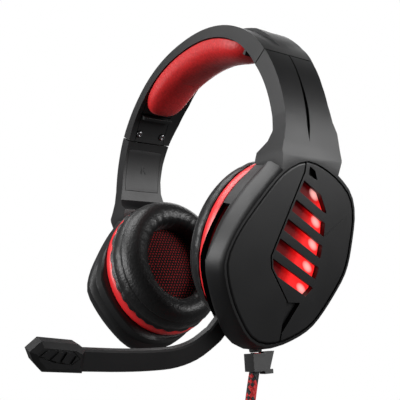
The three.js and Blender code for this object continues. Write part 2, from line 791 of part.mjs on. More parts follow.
// A small panel with slanting ribs on the head's outer face.
function micGrille() {
  let grille = prism(grillePanel(0), HEAD_TO - 0.9, HEAD_TO - 0.1);
  GRILLE_RIBS.forEach((rib) => {
    grille = grille.add(prism(outlineOf(rib), HEAD_TO - 0.5, HEAD_TO + 0.9));
  });
  return grille;
}

const pivotCap = () => rod(5.8, 14, 15.3, across(), 28);

// ---------------------------------------------------------------- cable

const cablePoint = ([x, y, z]) => new THREE.Vector3(x, y, z);

function strainRelief() {
  const [x, y, z] = CABLE.exit;
  const frame = new THREE.Matrix4().makeTranslation(x, y, z);
  return pin([
    [0, GAP], [3.1, GAP], [3.5, 3.4], [3.5, 9], [0, 9],
  ], frame, 20);
}

// Hook under the cup that holds the cable: a sleeve on a tapering bracket.
function cableClip() {
  const [x, y, z] = CABLE.exit;
  const half = 3.8;
  const block = (width, low, high, front, back) => crosswise([
    point(x - width, z + low), point(x + width, z + low), point(x + width, z + high),
    point(x - width, z + high),
  ], y + front, y + back);
  const bracket = prism([
    point(y + 3.6, z + 0.4), point(y + 3.2, z - 9.4), point(y + 6.4, z - 9.4), point(y + 10.4, z + 0.4),
  ], x - 2.2, x + 2.2);
  const hole = sweep(CABLE_ROUTE, CABLE.radius + 0.5, 30, 12);
  return block(half, -9, -0.3, -4.6, 3.6).add(bracket)
    .add(block(2.2, -10.6, -8.4, 3.4, 8.8))
    .subtract(hole);
}

const CABLE_ROUTE = [
  [45.6, -8, -54.4], [45.5, -8.6, -60], [45.1, -10.6, -68], [44.6, -12.9, -78], [44.1, -14.6, -87],
  [43.8, -15.5, -97.9],
];

// A tube along a list of points.
function sweep(route, radius, steps, sides) {
  const section = new THREE.Shape(Array.from({ length: sides }, (_, i) => {
    const angle = (i / sides) * 2 * Math.PI;
    return point(radius * Math.cos(angle), radius * Math.sin(angle));
  }));
  return orient(new THREE.ExtrudeGeometry(section, {
    steps, bevelEnabled: false, extrudePath: new THREE.CatmullRomCurve3(route.map(cablePoint)),
  }));
}

const cable = () => sweep(CABLE_ROUTE, CABLE.radius, 8, 10);

function coil() {
  const { mean, radial, halfWidth } = COIL;
  const soft = 2.5;
  const [inside, outside] = [mean - radial, mean + radial];
  return turned([
    [inside, -halfWidth + soft], [inside + soft, -halfWidth], [outside - soft, -halfWidth],
    [outside, -halfWidth + soft], [outside, halfWidth - soft], [outside - soft, halfWidth],
    [inside + soft, halfWidth], [inside, halfWidth - soft], [inside, -halfWidth + soft],
  ], 40);
}

// A hook-and-loop strap round the coil's turns at the bottom.
function coilTie() {
  const { mean, radial, halfWidth } = COIL;
  const wide = halfWidth + 0.4;
  const deep = radial + 0.5;
  const strap = 1.2;
  const loop = (grow) => [
    point(-wide - grow, -mean - deep - grow), point(wide + grow, -mean - deep - grow),
    point(wide + grow, -mean + deep + 1.4 + grow), point(-wide - grow, -mean + deep + 1.4 + grow),
  ];
  return crosswise(loop(strap), -6, 6).subtract(crosswise(loop(0), -7, 7));
}

const PLUG = { across: 4.2, wide: 8, back: 20, front: -12, tip: -31 };

function plugBody() {
  const { across: half, wide, back, front } = PLUG;
  return prism([
    point(-wide, front), point(wide, front), point(wide, back - 9), point(4, back),
    point(-4, back), point(-wide, back - 9),
  ], -half, half, 1);
}

function plugContact() {
  const { tip, front } = PLUG;
  const outer = prism([
    point(-6, tip), point(6, tip), point(6, front - GAP), point(-6, front - GAP),
  ], -2.25, 2.25);
  return outer.subtract(prism([
    point(-5.6, tip - 1), point(5.6, tip - 1), point(5.6, front - 4), point(-5.6, front - 4),
  ], -1.85, 1.85));
}

// ---------------------------------------------------------------- assembly

function headband() {
  const group = new THREE.Group();
  group.add(
    piece('crown_shell', crownShell(), FINISH.shell),
    piece('spring_band', springBand(), FINISH.steel),
    piece('cushion_carrier', cushionCarrier(), FINISH.dark),
    piece('headband_cushion', headbandCushion(), FINISH.redLeather),
    piece('left_slider_liner', sliderLiner(1), FINISH.shell),
    piece('right_slider_liner', sliderLiner(-1), FINISH.shell),
  );
  const names = ['left_screw_front', 'left_screw_back', 'right_screw_front', 'right_screw_back'];
  screwFrames(rimAt(SCREW_ANGLE)).forEach((frame, i) => {
    group.add(piece(names[i], linerScrew(frame), FINISH.steel));
  });
  return group;
}

function arm(name, side) {
  const group = new THREE.Group();
  group.add(
    piece(`${name}_arm_housing`, armHousing(side), FINISH.shell, side),
    piece(`${name}_arm_inner_cover`, innerCover(), FINISH.shell, side),
  );
  const cup = new THREE.Group();
  cup.position.x = side * CUP.offset;
  cup.rotation.y = side * radians(CUP.tilt);
  const parts = {
    cover_front_plate: [frontPlate(), FINISH.shell],
    cover_rear_plate: [rearPlate(), FINISH.shell],
    light_guide: [lightGuide(), FINISH.glow],
    led_board: [ledBoard(), FINISH.board],
    accent_ring: [accentRing(), FINISH.red],
    inner_cup: [innerCup(side > 0), FINISH.dark],
    baffle: [baffle(), FINISH.dark],
    driver_basket: [driverBasket(), FINISH.steel],
    diaphragm: [diaphragm(), FINISH.cone],
    speaker_mesh: [speakerMesh(), FINISH.mesh],
    ear_pad: [earPad(), FINISH.leather],
  };
  Object.entries(parts).forEach(([part, [solid, material]]) => {
    cup.add(piece(`${name}_${part}`, solid, material, side));
  });
  if (side > 0) {
    cup.add(
      piece('mic_boom_arm', boomArm(), FINISH.shell),
      piece('mic_pivot_cap', pivotCap(), FINISH.dark),
      piece('mic_head_shell', micHead(), FINISH.shell),
      piece('mic_grille', micGrille(), FINISH.dark),
      piece('mic_capsule', micCapsule(), FINISH.steel),
    );
  }
  group.add(cup);
  return group;
}

function cableSet() {
  const group = new THREE.Group();
  group.add(
    piece('cable_strain_relief', strainRelief(), FINISH.dark),
    piece('cable_clip', cableClip(), FINISH.dark),
    piece('cable', cable(), FINISH.braid),
  );
  const hank = new THREE.Group();
  hank.position.set(...COIL.centre);
  hank.add(
    piece('cable_coil', coil(), FINISH.braid),
    piece('cable_tie', coilTie(), FINISH.dark),
  );
  const plug = new THREE.Group();
  plug.position.set(COIL.halfWidth + 0.4 + PLUG.across, COIL.mean, 0);
  plug.add(
    piece('plug_body', plugBody(), FINISH.dark),
    piece('plug_contact', plugContact(), FINISH.steel),
  );
  hank.add(plug);
  group.add(hank);
  return group;
}

const headset = new THREE.Group();
const model = new THREE.Group();
model.position.z = -HEAD_REST_HEIGHT;
model.add(headband(), arm('left', 1), arm('right', -1), cableSet());
headset.add(model);

export default headset;
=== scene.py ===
"""Over-ear gaming headset with lit cups, a swinging microphone boom and a braided cable.

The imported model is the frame. Its moulded pieces stay and get their edges and finishes; the padded,
woven, turned and lit pieces are built round it. Metres, +Z up, the wearer faces -Y, left is +X.
"""

import logging
import math
from dataclasses import dataclass, field
from enum import Enum
from typing import Any

import bpy
import numpy as np
from mathutils import Matrix, Vector


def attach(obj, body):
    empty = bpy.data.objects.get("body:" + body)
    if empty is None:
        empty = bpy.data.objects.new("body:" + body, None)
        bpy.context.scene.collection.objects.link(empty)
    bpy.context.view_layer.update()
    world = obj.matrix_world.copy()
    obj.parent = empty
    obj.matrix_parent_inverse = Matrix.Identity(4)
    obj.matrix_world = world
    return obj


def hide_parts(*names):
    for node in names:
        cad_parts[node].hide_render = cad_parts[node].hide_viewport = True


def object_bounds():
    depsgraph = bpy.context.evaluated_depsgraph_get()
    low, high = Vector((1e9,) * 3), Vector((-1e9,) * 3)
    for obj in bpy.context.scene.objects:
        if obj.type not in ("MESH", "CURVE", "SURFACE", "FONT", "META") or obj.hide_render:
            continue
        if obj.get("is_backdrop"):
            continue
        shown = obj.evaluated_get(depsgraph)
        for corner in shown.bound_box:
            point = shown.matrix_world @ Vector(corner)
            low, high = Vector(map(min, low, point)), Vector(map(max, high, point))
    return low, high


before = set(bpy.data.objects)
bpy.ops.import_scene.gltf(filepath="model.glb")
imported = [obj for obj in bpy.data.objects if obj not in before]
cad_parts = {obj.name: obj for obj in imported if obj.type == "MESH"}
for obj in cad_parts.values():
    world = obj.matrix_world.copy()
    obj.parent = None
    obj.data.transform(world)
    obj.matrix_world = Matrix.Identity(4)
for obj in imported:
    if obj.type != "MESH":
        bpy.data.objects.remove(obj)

LOG = logging.getLogger("headset")
MM = 0.001
Colour = tuple[float, float, float]


class Side(Enum):
    """Which ear a cup is for; the value is the sign of its X."""

    LEFT = 1
    RIGHT = -1

    @property
    def word(self) -> str:
        """Name of the side as it stands in node names."""
        return self.name.lower()


class Body(Enum):
    """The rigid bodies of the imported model."""

    HEADBAND = "headband"
    LEFT_ARM = "left_arm"
    RIGHT_ARM = "right_arm"
    MIC_BOOM = "mic_boom"


class Slot(Enum):
    """Material slots of the record."""

    SHELL = "shell_plastic"
    DARK = "dark_plastic"
    RED = "red_plastic"
    RED_LEATHER = "red_leatherette"
    BLACK_LEATHER = "black_leatherette"
    CLOTH = "speaker_cloth"
    GLOW = "glow_window"
    BOARD = "circuit_board"
    FILM = "diaphragm_film"
    SPRING = "spring_steel"
    SCREW = "screw_steel"
    DRIVER = "driver_metal"
    CONTACT = "plug_steel"
    RUBBER = "cable_rubber"
    BRAID = "braided_sleeve"
    STRAP = "tie_strap"


# ---------------------------------------------------------------- shader graphs


class Wire:
    """A shader socket that can stand in a Python expression."""

    def __init__(self, graph: "Graph", socket: bpy.types.NodeSocket) -> None:
        """Wraps a socket.

        Args:
            graph: the graph that the socket belongs to.
            socket: an output socket.
        """
        self.graph = graph
        self.socket = socket

    def _math(self, operation: str, first: "Wire | float", second: "Wire | float") -> "Wire":
        """Adds one Math node.

        Args:
            operation: the node's operation.
            first: first operand.
            second: second operand.

        Returns:
            The node's value.
        """
        return self.graph.make("ShaderNodeMath", {"operation": operation}, {0: first, 1: second})

    def __add__(self, other: "Wire | float") -> "Wire":
        """Sum."""
        return self._math("ADD", self, other)

    def __radd__(self, other: float) -> "Wire":
        """Reflected sum."""
        return self._math("ADD", other, self)

    def __sub__(self, other: "Wire | float") -> "Wire":
        """Difference."""
        return self._math("SUBTRACT", self, other)

    def __rsub__(self, other: float) -> "Wire":
        """Reflected difference."""
        return self._math("SUBTRACT", other, self)

    def __mul__(self, other: "Wire | float") -> "Wire":
        """Product."""
        return self._math("MULTIPLY", self, other)

    def __truediv__(self, other: "Wire | float") -> "Wire":
        """Quotient."""
        return self._math("DIVIDE", self, other)

    def __pow__(self, other: float) -> "Wire":
        """Power."""
        return self._math("POWER", self, other)

    def __mod__(self, other: float) -> "Wire":
        """Remainder that is never negative."""
        return self._math("FLOORED_MODULO", self, other)

    def __abs__(self) -> "Wire":
        """Absolute value."""
        return self._math("ABSOLUTE", self, 0.0)

    def __lt__(self, other: "Wire | float") -> "Wire":
        """1 where this is less than the other, and 0 elsewhere."""
        return self._math("LESS_THAN", self, other)

    def floor(self) -> "Wire":
        """Largest whole number that isn't above this."""
        return self._math("FLOOR", self, 0.0)

    def least(self, other: "Wire | float") -> "Wire":
        """Smaller of two values."""
        return self._math("MINIMUM", self, other)

    def most(self, other: "Wire | float") -> "Wire":
        """Larger of two values."""
        return self._math("MAXIMUM", self, other)

    def sine(self) -> "Wire":
        """Sine of this, in radians."""
        return self._math("SINE", self, 0.0)

    def clamped(self) -> "Wire":
        """This value held between 0 and 1."""
        return self.most(0.0).least(1.0)


class Graph:
    """Node tree of one material, with the shader that ends it."""

    def __init__(self, name: str) -> None:
        """Makes an empty material.

        Args:
            name: the material's name.
        """
        self.material = bpy.data.materials.new(name)
        self.material.use_nodes = True
        self.tree = self.material.node_tree
        self.tree.nodes.clear()
        self.shader = self.tree.nodes.new("ShaderNodeBsdfPrincipled")
        end = self.tree.nodes.new("ShaderNodeOutputMaterial")
        self.tree.links.new(self.shader.outputs[0], end.inputs[0])

    def plug(self, socket: bpy.types.NodeSocket, value: Any) -> None:
        """Gives an input socket its value or link.

        Args:
            socket: the input socket.
            value: a Wire, a number, or a colour or vector as a tuple.
        """
        if isinstance(value, Wire):
            self.tree.links.new(value.socket, socket)
        elif isinstance(value, tuple) and socket.type == "RGBA" and len(value) == 3:
            socket.default_value = (*value, 1.0)
        else:
            socket.default_value = value

    def make(
        self,
        kind: str,
        settings: dict[str, Any] | None = None,
        inputs: dict[int | str, Any] | None = None,
        output: int | str = 0,
    ) -> Wire:
        """Adds a node of any type.

        Args:
            kind: the node's type.
            settings: its own settings, set first; "stops" holds a ramp's positions and colours.
            inputs: values or links of its input sockets, by index or name.
            output: which output to return.

        Returns:
            The chosen output.
        """
        node = self.tree.nodes.new(kind)
        for key, value in (settings or {}).items():
            if key == "stops":
                self._set_stops(node.color_ramp, value)
            else:
                setattr(node, key, value)
        for key, value in (inputs or {}).items():
            self.plug(node.inputs[key], value)
        return Wire(self, node.outputs[output])

    @staticmethod
    def _set_stops(ramp: bpy.types.ColorRamp, stops: list[tuple[float, Colour]]) -> None:
        """Sets a ramp's stops.

        Args:
            ramp: the ramp.
            stops: positions and colours, from low to high; at least two.
        """
        while len(ramp.elements) < len(stops):
            ramp.elements.new(0.5)
        for element, (position, colour) in zip(ramp.elements, stops):
            element.position = position
            element.color = (*colour, 1.0)

    def set(self, **inputs: Any) -> None:
        """Sets the end shader's sockets.

        Args:
            inputs: values or Wires, by the socket's name in snake case.
        """
        for key, value in inputs.items():
            words = key.replace("_", " ").title().replace("Ior", "IOR")
            self.plug(self.shader.inputs[words], value)

    def place(self) -> Wire:
        """The surface's own coordinates, in metres, which move with the piece."""
        return self.make("ShaderNodeTexCoord", output="Object")

    def split(self, vector: Wire) -> tuple[Wire, Wire, Wire]:
        """Takes a vector apart.

        Args:
            vector: the vector.

        Returns:
            Its X, Y and Z.
        """
        first = self.make("ShaderNodeSeparateXYZ", inputs={0: vector})
        outputs = first.socket.node.outputs
        return first, Wire(self, outputs[1]), Wire(self, outputs[2])

    def noise(self, where: Wire, size: float, detail: float = 2.0) -> Wire:
        """Cloudy noise around 0.5.

        Args:
            where: coordinates.
            size: size of its blotches in metres.
            detail: octaves.

        Returns:
            The noise value.
        """
        inputs = {"Vector": where, "Scale": 1.0 / size, "Detail": detail}
        return self.make("ShaderNodeTexNoise", inputs=inputs)

    def cells(self, where: Wire, size: float, feature: str = "F1") -> Wire:
        """Distance inside irregular cells.

        Args:
            where: coordinates.
            size: cell size in metres.
            feature: which distance is measured.

        Returns:
            The distance in cell sizes.
        """
        settings = {"feature": feature}
        inputs = {"Vector": where, "Scale": 1.0 / size}
        return self.make("ShaderNodeTexVoronoi", settings, inputs, "Distance")

    def blend(self, factor: Wire | float, first: Any, second: Any) -> Wire:
        """Mixes two colours.

        Args:
            factor: 0 gives the first, 1 the second.
            first: a colour or a Wire.
            second: a colour or a Wire.

        Returns:
            The mixed colour.
        """
        settings = {"data_type": "RGBA"}
        return self.make("ShaderNodeMix", settings, {0: factor, 6: first, 7: second}, 2)

    def bump(self, height: Wire, depth: float) -> None:
        """Feeds a height to the shader's normal.

        Args:
            height: height in units of depth.
            depth: metres for a height of 1.
        """
        inputs = {"Height": height, "Distance": depth}
        self.set(normal=self.make("ShaderNodeBump", inputs=inputs))


# ---------------------------------------------------------------- finishes


@dataclass(frozen=True)
class Finish:
    """A surface finish that makes one material."""

    name: str

    def dress(self, graph: Graph) -> None:
        """Builds the finish's nodes in a graph."""
        raise NotImplementedError(self.name)

    def material(self) -> bpy.types.Material:
        """Makes the material.

        Returns:
            The finished material.
        """
        graph = Graph(self.name)
        self.dress(graph)
        return graph.material


@dataclass(frozen=True)
class MouldedPlastic(Finish):
    """Moulded plastic with a spark-eroded grain and a satin sheen."""

    colour: Colour
    roughness: float = 0.45
    coat: float = 0.0
    grain: float = 0.35 * MM
    depth: float = 0.02 * MM
    cloud: float = 22 * MM

    def dress(self, graph: Graph) -> None:
        """Grain, faint cloudiness in the colour, and slightly uneven gloss.

        Args:
            graph: the material's graph.
        """
        where = graph.place()
        clouds = graph.noise(where, self.cloud)
        fine = graph.noise(where, self.grain, 1.0)
        pits = graph.cells(where, self.grain * 1.6)
        lighter = tuple(min(1.0, c * 1.35 + 0.001) for c in self.colour)
        graph.set(
            base_color=graph.blend(clouds * 0.8 + fine * 0.2, self.colour, lighter),
            roughness=self.roughness - 0.08 + clouds * 0.10 + fine * 0.06,
            coat_weight=self.coat,
            coat_roughness=0.35,
        )
        graph.bump(fine * 0.7 + pits * 0.6, self.depth)


@dataclass(frozen=True)
class Leatherette(Finish):
    """Coated fabric with a pebble grain and soft creases."""

    colour: Colour
    # Darker colour: painted shade in the pebble valleys, also used for random darker patches of tone.
    deep: Colour
    pebble: float = 0.9 * MM
    depth: float = 0.08 * MM
    crease: float = 9 * MM
    roughness: float = 0.42
    sheen: float = 0.1

    def dress(self, graph: Graph) -> None:
        """Pebbles whose valleys get painted shade in the colour, with random darker patches of tone,
        under wide soft creases.

        Args:
            graph: the material's graph.
        """
        where = graph.place()
        warp = graph.noise(where, 3 * MM)
        pebbles = graph.cells(where, self.pebble, "SMOOTH_F1")
        pores = graph.noise(where, self.pebble * 0.35, 1.0)
        creases = graph.noise(where, self.crease, 3.0)
        valley = (pebbles * 1.5 - 0.25).clamped()
        graph.set(
            # Painted shade: the grain's valleys are darkened in the colour; the warp noise adds
            # random darker tone.
            base_color=graph.blend((valley * 0.55 + warp * 0.3).clamped(), self.colour, self.deep),
            roughness=self.roughness - 0.06 + valley * 0.16 + pores * 0.06,
            specular_ior_level=0.45,
            sheen_weight=self.sheen,
            sheen_roughness=0.4,
        )
        graph.bump(1.0 - pebbles * 0.9 + pores * 0.15 + creases * 1.2, self.depth)


@dataclass(frozen=True)
class DottedCloth(Finish):
    """Open hexagonal mesh over red felt; the piece's UV map is in metres."""

    dot: Colour
    net: Colour
    pitch: float = 2.1 * MM
    share: float = 0.27
    depth: float = 0.25 * MM

    def _lattice(self, graph: Graph, across: Wire, along: Wire, shift: float) -> Wire:
        """Distance to the nearest point of one rectangular lattice.

        Args:
            graph: the material's graph.
            across: first coordinate in pitches.
            along: second coordinate in pitches.
            shift: how far the lattice is moved, in half cells.

        Returns:
            The distance in pitches.
        """
        root = math.sqrt(3.0)
        first = (across + 0.5 * shift) % 1.0 - 0.5
        second = ((along / root + 0.5 * shift) % 1.0 - 0.5) * root
        return (first * first + second * second) ** 0.5

    def dress(self, graph: Graph) -> None:
        """Two lattices make the hexagonal one; the dots lie below the net.

        Args:
            graph: the material's graph.
        """
        uv = graph.make("ShaderNodeTexCoord", output="UV")
        across, along, _ = graph.split(uv)
        across = across / self.pitch
        along = along / self.pitch
        near = self._lattice(graph, across, along, 0.0).least(
            self._lattice(graph, across, along, 1.0)
        )
        dots = ((self.share - near) * 9.0 + 0.5).clamped()
        fuzz = graph.noise(graph.place(), 0.3 * MM)
        graph.set(
            base_color=graph.blend(dots * (0.55 + fuzz * 0.9), self.net, self.dot),
            roughness=0.9 - dots * 0.15,
            sheen_weight=0.05,
            specular_ior_level=0.25,
        )
        graph.bump(fuzz * 0.3 - dots, self.depth)


@dataclass(frozen=True)
class BraidedSleeve(Finish):
    """Two-colour braid; the piece's UV map is turns round and metres along."""

    red: Colour
    black: Colour
    strands: float = 7.0
    red_strands: float = 2.5
    threads: float = 26.0
    lay: float = 2.6 * MM
    depth: float = 0.28 * MM

    def dress(self, graph: Graph) -> None:
        """Two families of strands that pass over and under each other.

        Args:
            graph: the material's graph.
        """
        uv = graph.make("ShaderNodeTexCoord", output="UV")
        round_, along, _ = graph.split(uv)
        right = round_ * self.strands + along / self.lay
        left = round_ * self.strands - along / self.lay
        over = (right.floor() + left.floor()) % 2.0
        red_right = (right.floor() % self.strands) < self.red_strands
        red_left = (left.floor() % self.strands) < self.red_strands
        red = over * red_right + (1.0 - over) * red_left
        ridge = abs((over * right + (1.0 - over) * left) % 1.0 - 0.5) * -2.0 + 1.0
        threads = ((right - left) * self.threads).sine() * 0.08
        graph.set(
            base_color=graph.blend(red, self.black, self.red),
            roughness=0.62 + ridge * -0.12,
            sheen_weight=0.15,
        )
        graph.bump(ridge**0.6 + threads, self.depth)


@dataclass(frozen=True)
class GlowWindow(Finish):
    """Red light guide behind the slots, with a bright spot near the end of each slot."""

    lean: float
    offset: float
    height: float
    spots: tuple[tuple[float, float], ...] = (
        (6.0 * MM, 30.0 * MM),
        (9.6 * MM, 16.6 * MM),
        (9.8 * MM, 5.2 * MM),
        (8.1 * MM, -6.0 * MM),
        (6.0 * MM, -17.1 * MM),
    )
    spot_size: float = 3.6 * MM
    spot_flatness: float = 0.72
    bar_slope: float = 0.5
    dark_end: float = -5 * MM
    dark_end_height: float = 30 * MM
    dark_end_slope: float = 0.33
    fade: float = 17 * MM
    strength: float = 1.15

    def dress(self, graph: Graph) -> None:
        """Glow that fades away from the lamps, which sit towards the back.

        Args:
            graph: the material's graph.
        """
        x, y, z = graph.split(graph.place())
        up = (abs(x) - self.offset) * math.sin(self.lean) + (z - self.height) * math.cos(self.lean)
        edge = (up - self.dark_end_height) * self.dark_end_slope + self.dark_end
        share = ((y - edge) / self.fade).clamped()
        bright = None
        for back, high in self.spots:
            across = (y - back) / self.spot_size
            along = (up - high + (y - back) * self.bar_slope) / (self.spot_size * self.spot_flatness)
            spot = (1.0 - across * across - along * along).clamped()
            bright = spot if bright is None else bright.most(spot)
        flecks = graph.cells(graph.place(), 1.3 * MM)
        ramp = graph.make(
            "ShaderNodeValToRGB",
            {
                "stops": [
                    (0.0, (0.002, 0.0, 0.0)),
                    (0.34, (0.06, 0.0, 0.0006)),
                    (0.72, (0.48, 0.004, 0.004)),
                    (1.0, (0.95, 0.02, 0.02)),
                ]
            },
            {0: share ** 1.4 * 0.94 + flecks * 0.10},
        )
        light = graph.blend(bright ** 0.9, ramp, (1.0, 0.45, 0.42))
        graph.set(
            base_color=(0.12, 0.002, 0.003),
            roughness=0.4 + flecks * 0.2,
            specular_ior_level=0.2,
            emission_color=light,
            emission_strength=self.strength,
        )


@dataclass(frozen=True)
class PaleFloor(Finish):
    """White matt floor with a faint glow of its own, so that it meets the backdrop without a line."""

    colour: Colour = (0.8, 0.8, 0.8)
    lighter: Colour = (0.84, 0.84, 0.84)
    glow: float = 0.72

    def dress(self, graph: Graph) -> None:
        """A hint of unevenness in the white.

        Args:
            graph: the material's graph.
        """
        tone = graph.noise(graph.place(), 0.4)
        graph.set(
            base_color=graph.blend(tone, self.colour, self.lighter),
            roughness=0.9,
            emission_color=(1.0, 1.0, 1.0),
            emission_strength=self.glow,
        )


@dataclass(frozen=True)
class Metal(Finish):
    """Brushed or plated metal."""

    colour: Colour
    roughness: float = 0.32
    brush: tuple[float, float, float] = (1.0, 12.0, 1.0)

    def dress(self, graph: Graph) -> None:
        """Streaks from noise that is stretched one way.

        Args:
            graph: the material's graph.
        """
        stretched = graph.make(
            "ShaderNodeVectorMath",
            {"operation": "MULTIPLY"},
            {0: graph.place(), 1: self.brush},
        )
        streaks = graph.noise(stretched, 1.2 * MM, 3.0)
        darker = tuple(c * 0.7 for c in self.colour)
        graph.set(
            base_color=graph.blend(streaks, darker, self.colour),
            metallic=1.0,
            roughness=self.roughness - 0.1 + streaks * 0.2,
        )
        graph.bump(streaks, 0.01 * MM)


@dataclass(frozen=True)
class WovenStrap(Finish):
    """Hook-and-loop tape: short loops on a woven ground."""

    colour: Colour

    def dress(self, graph: Graph) -> None:
        """Loops from small cells, with soft patches in the tone.

        Args:
            graph: the material's graph.
        """
        where = graph.place()
        loops = graph.cells(where, 0.5 * MM)
        tone = graph.noise(where, 4 * MM)
        lighter = tuple(c * 2.0 + 0.01 for c in self.colour)
        graph.set(
            base_color=graph.blend((loops * 0.6 + tone * 0.3).clamped(), self.colour, lighter),
            roughness=0.85 - loops * 0.1,
            sheen_weight=0.3,
        )
        graph.bump(1.0 - loops, 0.2 * MM)


@dataclass(frozen=True)
class BoardMask(Finish):
    """Solder mask with faint tracks."""

    colour: Colour

    def dress(self, graph: Graph) -> None:
        """Tracks are thin lines between cells.

        Args:
            graph: the material's graph.
        """
        where = graph.place()
        tracks = graph.cells(where, 3.5 * MM, "DISTANCE_TO_EDGE") < 0.06
        lighter = tuple(c * 1.8 for c in self.colour)
        graph.set(
            base_color=graph.blend(tracks, self.colour, lighter),
            roughness=0.4 + tracks * 0.1,
            coat_weight=0.4,
        )
        graph.bump(tracks, 0.04 * MM)


# ---------------------------------------------------------------- meshes


def linked(name: str, data: bpy.types.ID) -> bpy.types.Object:
    """A new object in the scene.

    Args:
        name: the object's name.
        data: its mesh, light, camera or text.

    Returns:
        The object.
    """
    piece = bpy.data.objects.new(name, data)
    bpy.context.scene.collection.objects.link(piece)
    return piece


def skin(
    name: str,
    rows: np.ndarray,
    loop: bool = False,
    uv: np.ndarray | None = None,
    along: np.ndarray | None = None,
) -> bpy.types.Object:
    """A tube through a grid of points, capped at its ends unless it loops.

    Args:
        name: name of the new object.
        rows: points of shape (rows, columns, 3) in metres; the last column joins the first.
        loop: joins the last row to the first.
        uv: a UV map for each point, of shape (rows, columns, 2).
        along: a UV height for each row; the UV width is then the share of a turn.

    Returns:
        The object, linked to the scene.
    """
    count, width = rows.shape[:2]
    heights = along if along is not None else np.arange(count + 1) / count
    faces: list[list[int]] = []
    corners: list[list[tuple[float, float]]] = []
    for i in range(count if loop else count - 1):
        for j in range(width):
            square = ((i, j), (i, j + 1), (i + 1, j + 1), (i + 1, j))
            faces.append([(a % count) * width + b % width for a, b in square])
            if uv is None:
                corners.append([(b / width, float(heights[a])) for a, b in square])
            else:
                corners.append([tuple(uv[a % count, b % width]) for a, b in square])
    if not loop:
        for start, step in ((0, -1), (count - 1, 1)):
            faces.append([start * width + j for j in range(width)][::step])
            corners.append([(0.0, float(heights[start]))] * width)
    points = rows.reshape(-1, 3)
    if _volume(points, faces) < 0:
        faces = [face[::-1] for face in faces]
        corners = [corner[::-1] for corner in corners]
    mesh = bpy.data.meshes.new(name)
    mesh.from_pydata(points.tolist(), [], faces)
    layer = mesh.uv_layers.new(name="UVMap")
    layer.data.foreach_set("uv", [c for corner in corners for pair in corner for c in pair])
    mesh.polygons.foreach_set("use_smooth", [True] * len(mesh.polygons))
    return linked(name, mesh)


def _volume(points: np.ndarray, faces: list[list[int]]) -> float:
    """Six times the signed volume inside some faces.

    Args:
        points: vertices.
        faces: lists of vertex numbers.

    Returns:
        The volume, negative if the faces look inwards.
    """
    total = 0.0
    for face in faces:
        first = points[face[0]]
        for second, third in zip(face[1:-1], face[2:]):
            total += float(first @ np.cross(points[second], points[third]))
    return total


def mirrored(piece: bpy.types.Object, name: str) -> bpy.types.Object:
    """A copy of a piece on the other side of the head.

    Args:
        piece: a mesh object at the origin.
        name: the copy's name.

    Returns:
        The mirrored copy.
    """
    mesh = piece.data.copy()
    mesh.transform(Matrix.Scale(-1.0, 4, Vector((1.0, 0.0, 0.0))))
    mesh.flip_normals()
    return linked(name, mesh)


def glide(p: np.ndarray, t: float) -> np.ndarray:
    """A point on the smooth curve between the second and third of four knots.

    Args:
        p: the four knots, of shape (4, n).
        t: share of the way.

    Returns:
        The point, of shape (n,).
    """
    return 0.5 * (
        2 * p[1]
        + (p[2] - p[0]) * t
        + (2 * p[0] - 5 * p[1] + 4 * p[2] - p[3]) * t * t
        + (3 * p[1] - p[0] - 3 * p[2] + p[3]) * t * t * t
    )


def rounded(points: list[tuple[float, float]], steps: int) -> np.ndarray:
    """A smooth closed line through some points.

    Args:
        points: corners of the line.
        steps: new points for each stretch.

    Returns:
        Points of shape (n, 2).
    """
    knots = np.array(points, float)
    count = len(knots)
    line = []
    for i in range(count):
        near = knots[[k % count for k in (i - 1, i, i + 1, i + 2)]]
        line.extend(glide(near, step / steps) for step in range(steps))
    return np.array(line)


def subdivide(piece: bpy.types.Object, levels: int) -> None:
    """Adds a subdivision surface.

    Args:
        piece: the piece.
        levels: times that each face is split.
    """
    modifier = piece.modifiers.new("Subdivision", "SUBSURF")
    modifier.levels = levels
    modifier.render_levels = levels


@dataclass(frozen=True)
class Inflation:
    """Settings for filling a padded piece with air so that its cover takes soft folds."""

    cap: float
    pressure: float = 4.0
    frames: int = 20
    cover_mass: float = 0.02
    stretch_stiffness: float = 8.0
    fold_stiffness: float = 0.05

    def run(self, piece: bpy.types.Object, held: list[int]) -> None:
        """Simulates the cover and keeps the result in the mesh.

        Args:
            piece: the padded piece.
            held: vertices that are sewn down.
        """
        mesh = piece.data
        before = np.array([v.co for v in mesh.vertices])
        group = piece.vertex_groups.new(name="sewn")
        group.add(held, 1.0, "REPLACE")
        cloth = piece.modifiers.new("Cloth", "CLOTH")
        cloth.settings.quality = 5
        cloth.settings.mass = self.cover_mass
        cloth.settings.tension_stiffness = self.stretch_stiffness
        cloth.settings.compression_stiffness = self.stretch_stiffness
        cloth.settings.bending_stiffness = self.fold_stiffness
        cloth.settings.use_pressure = True
        cloth.settings.uniform_pressure_force = self.pressure
        cloth.settings.effector_weights.gravity = 0.0
        cloth.settings.vertex_group_mass = "sewn"
        cloth.point_cache.frame_end = self.frames
        scene = bpy.context.scene
        for number in range(1, self.frames + 1):
            scene.frame_set(number)
        shaped = piece.evaluated_get(bpy.context.evaluated_depsgraph_get()).to_mesh()
        after = np.array([v.co for v in shaped.vertices])
        piece.modifiers.remove(cloth)
        piece.vertex_groups.remove(group)
        move = after - before
        length = np.linalg.norm(move, axis=1, keepdims=True)
        move *= self.cap * np.tanh(length / self.cap) / np.maximum(length, 1e-9)
        mesh.vertices.foreach_set("co", (before + move).ravel())
        mesh.update()
        scene.frame_set(1)


# ---------------------------------------------------------------- shared lines


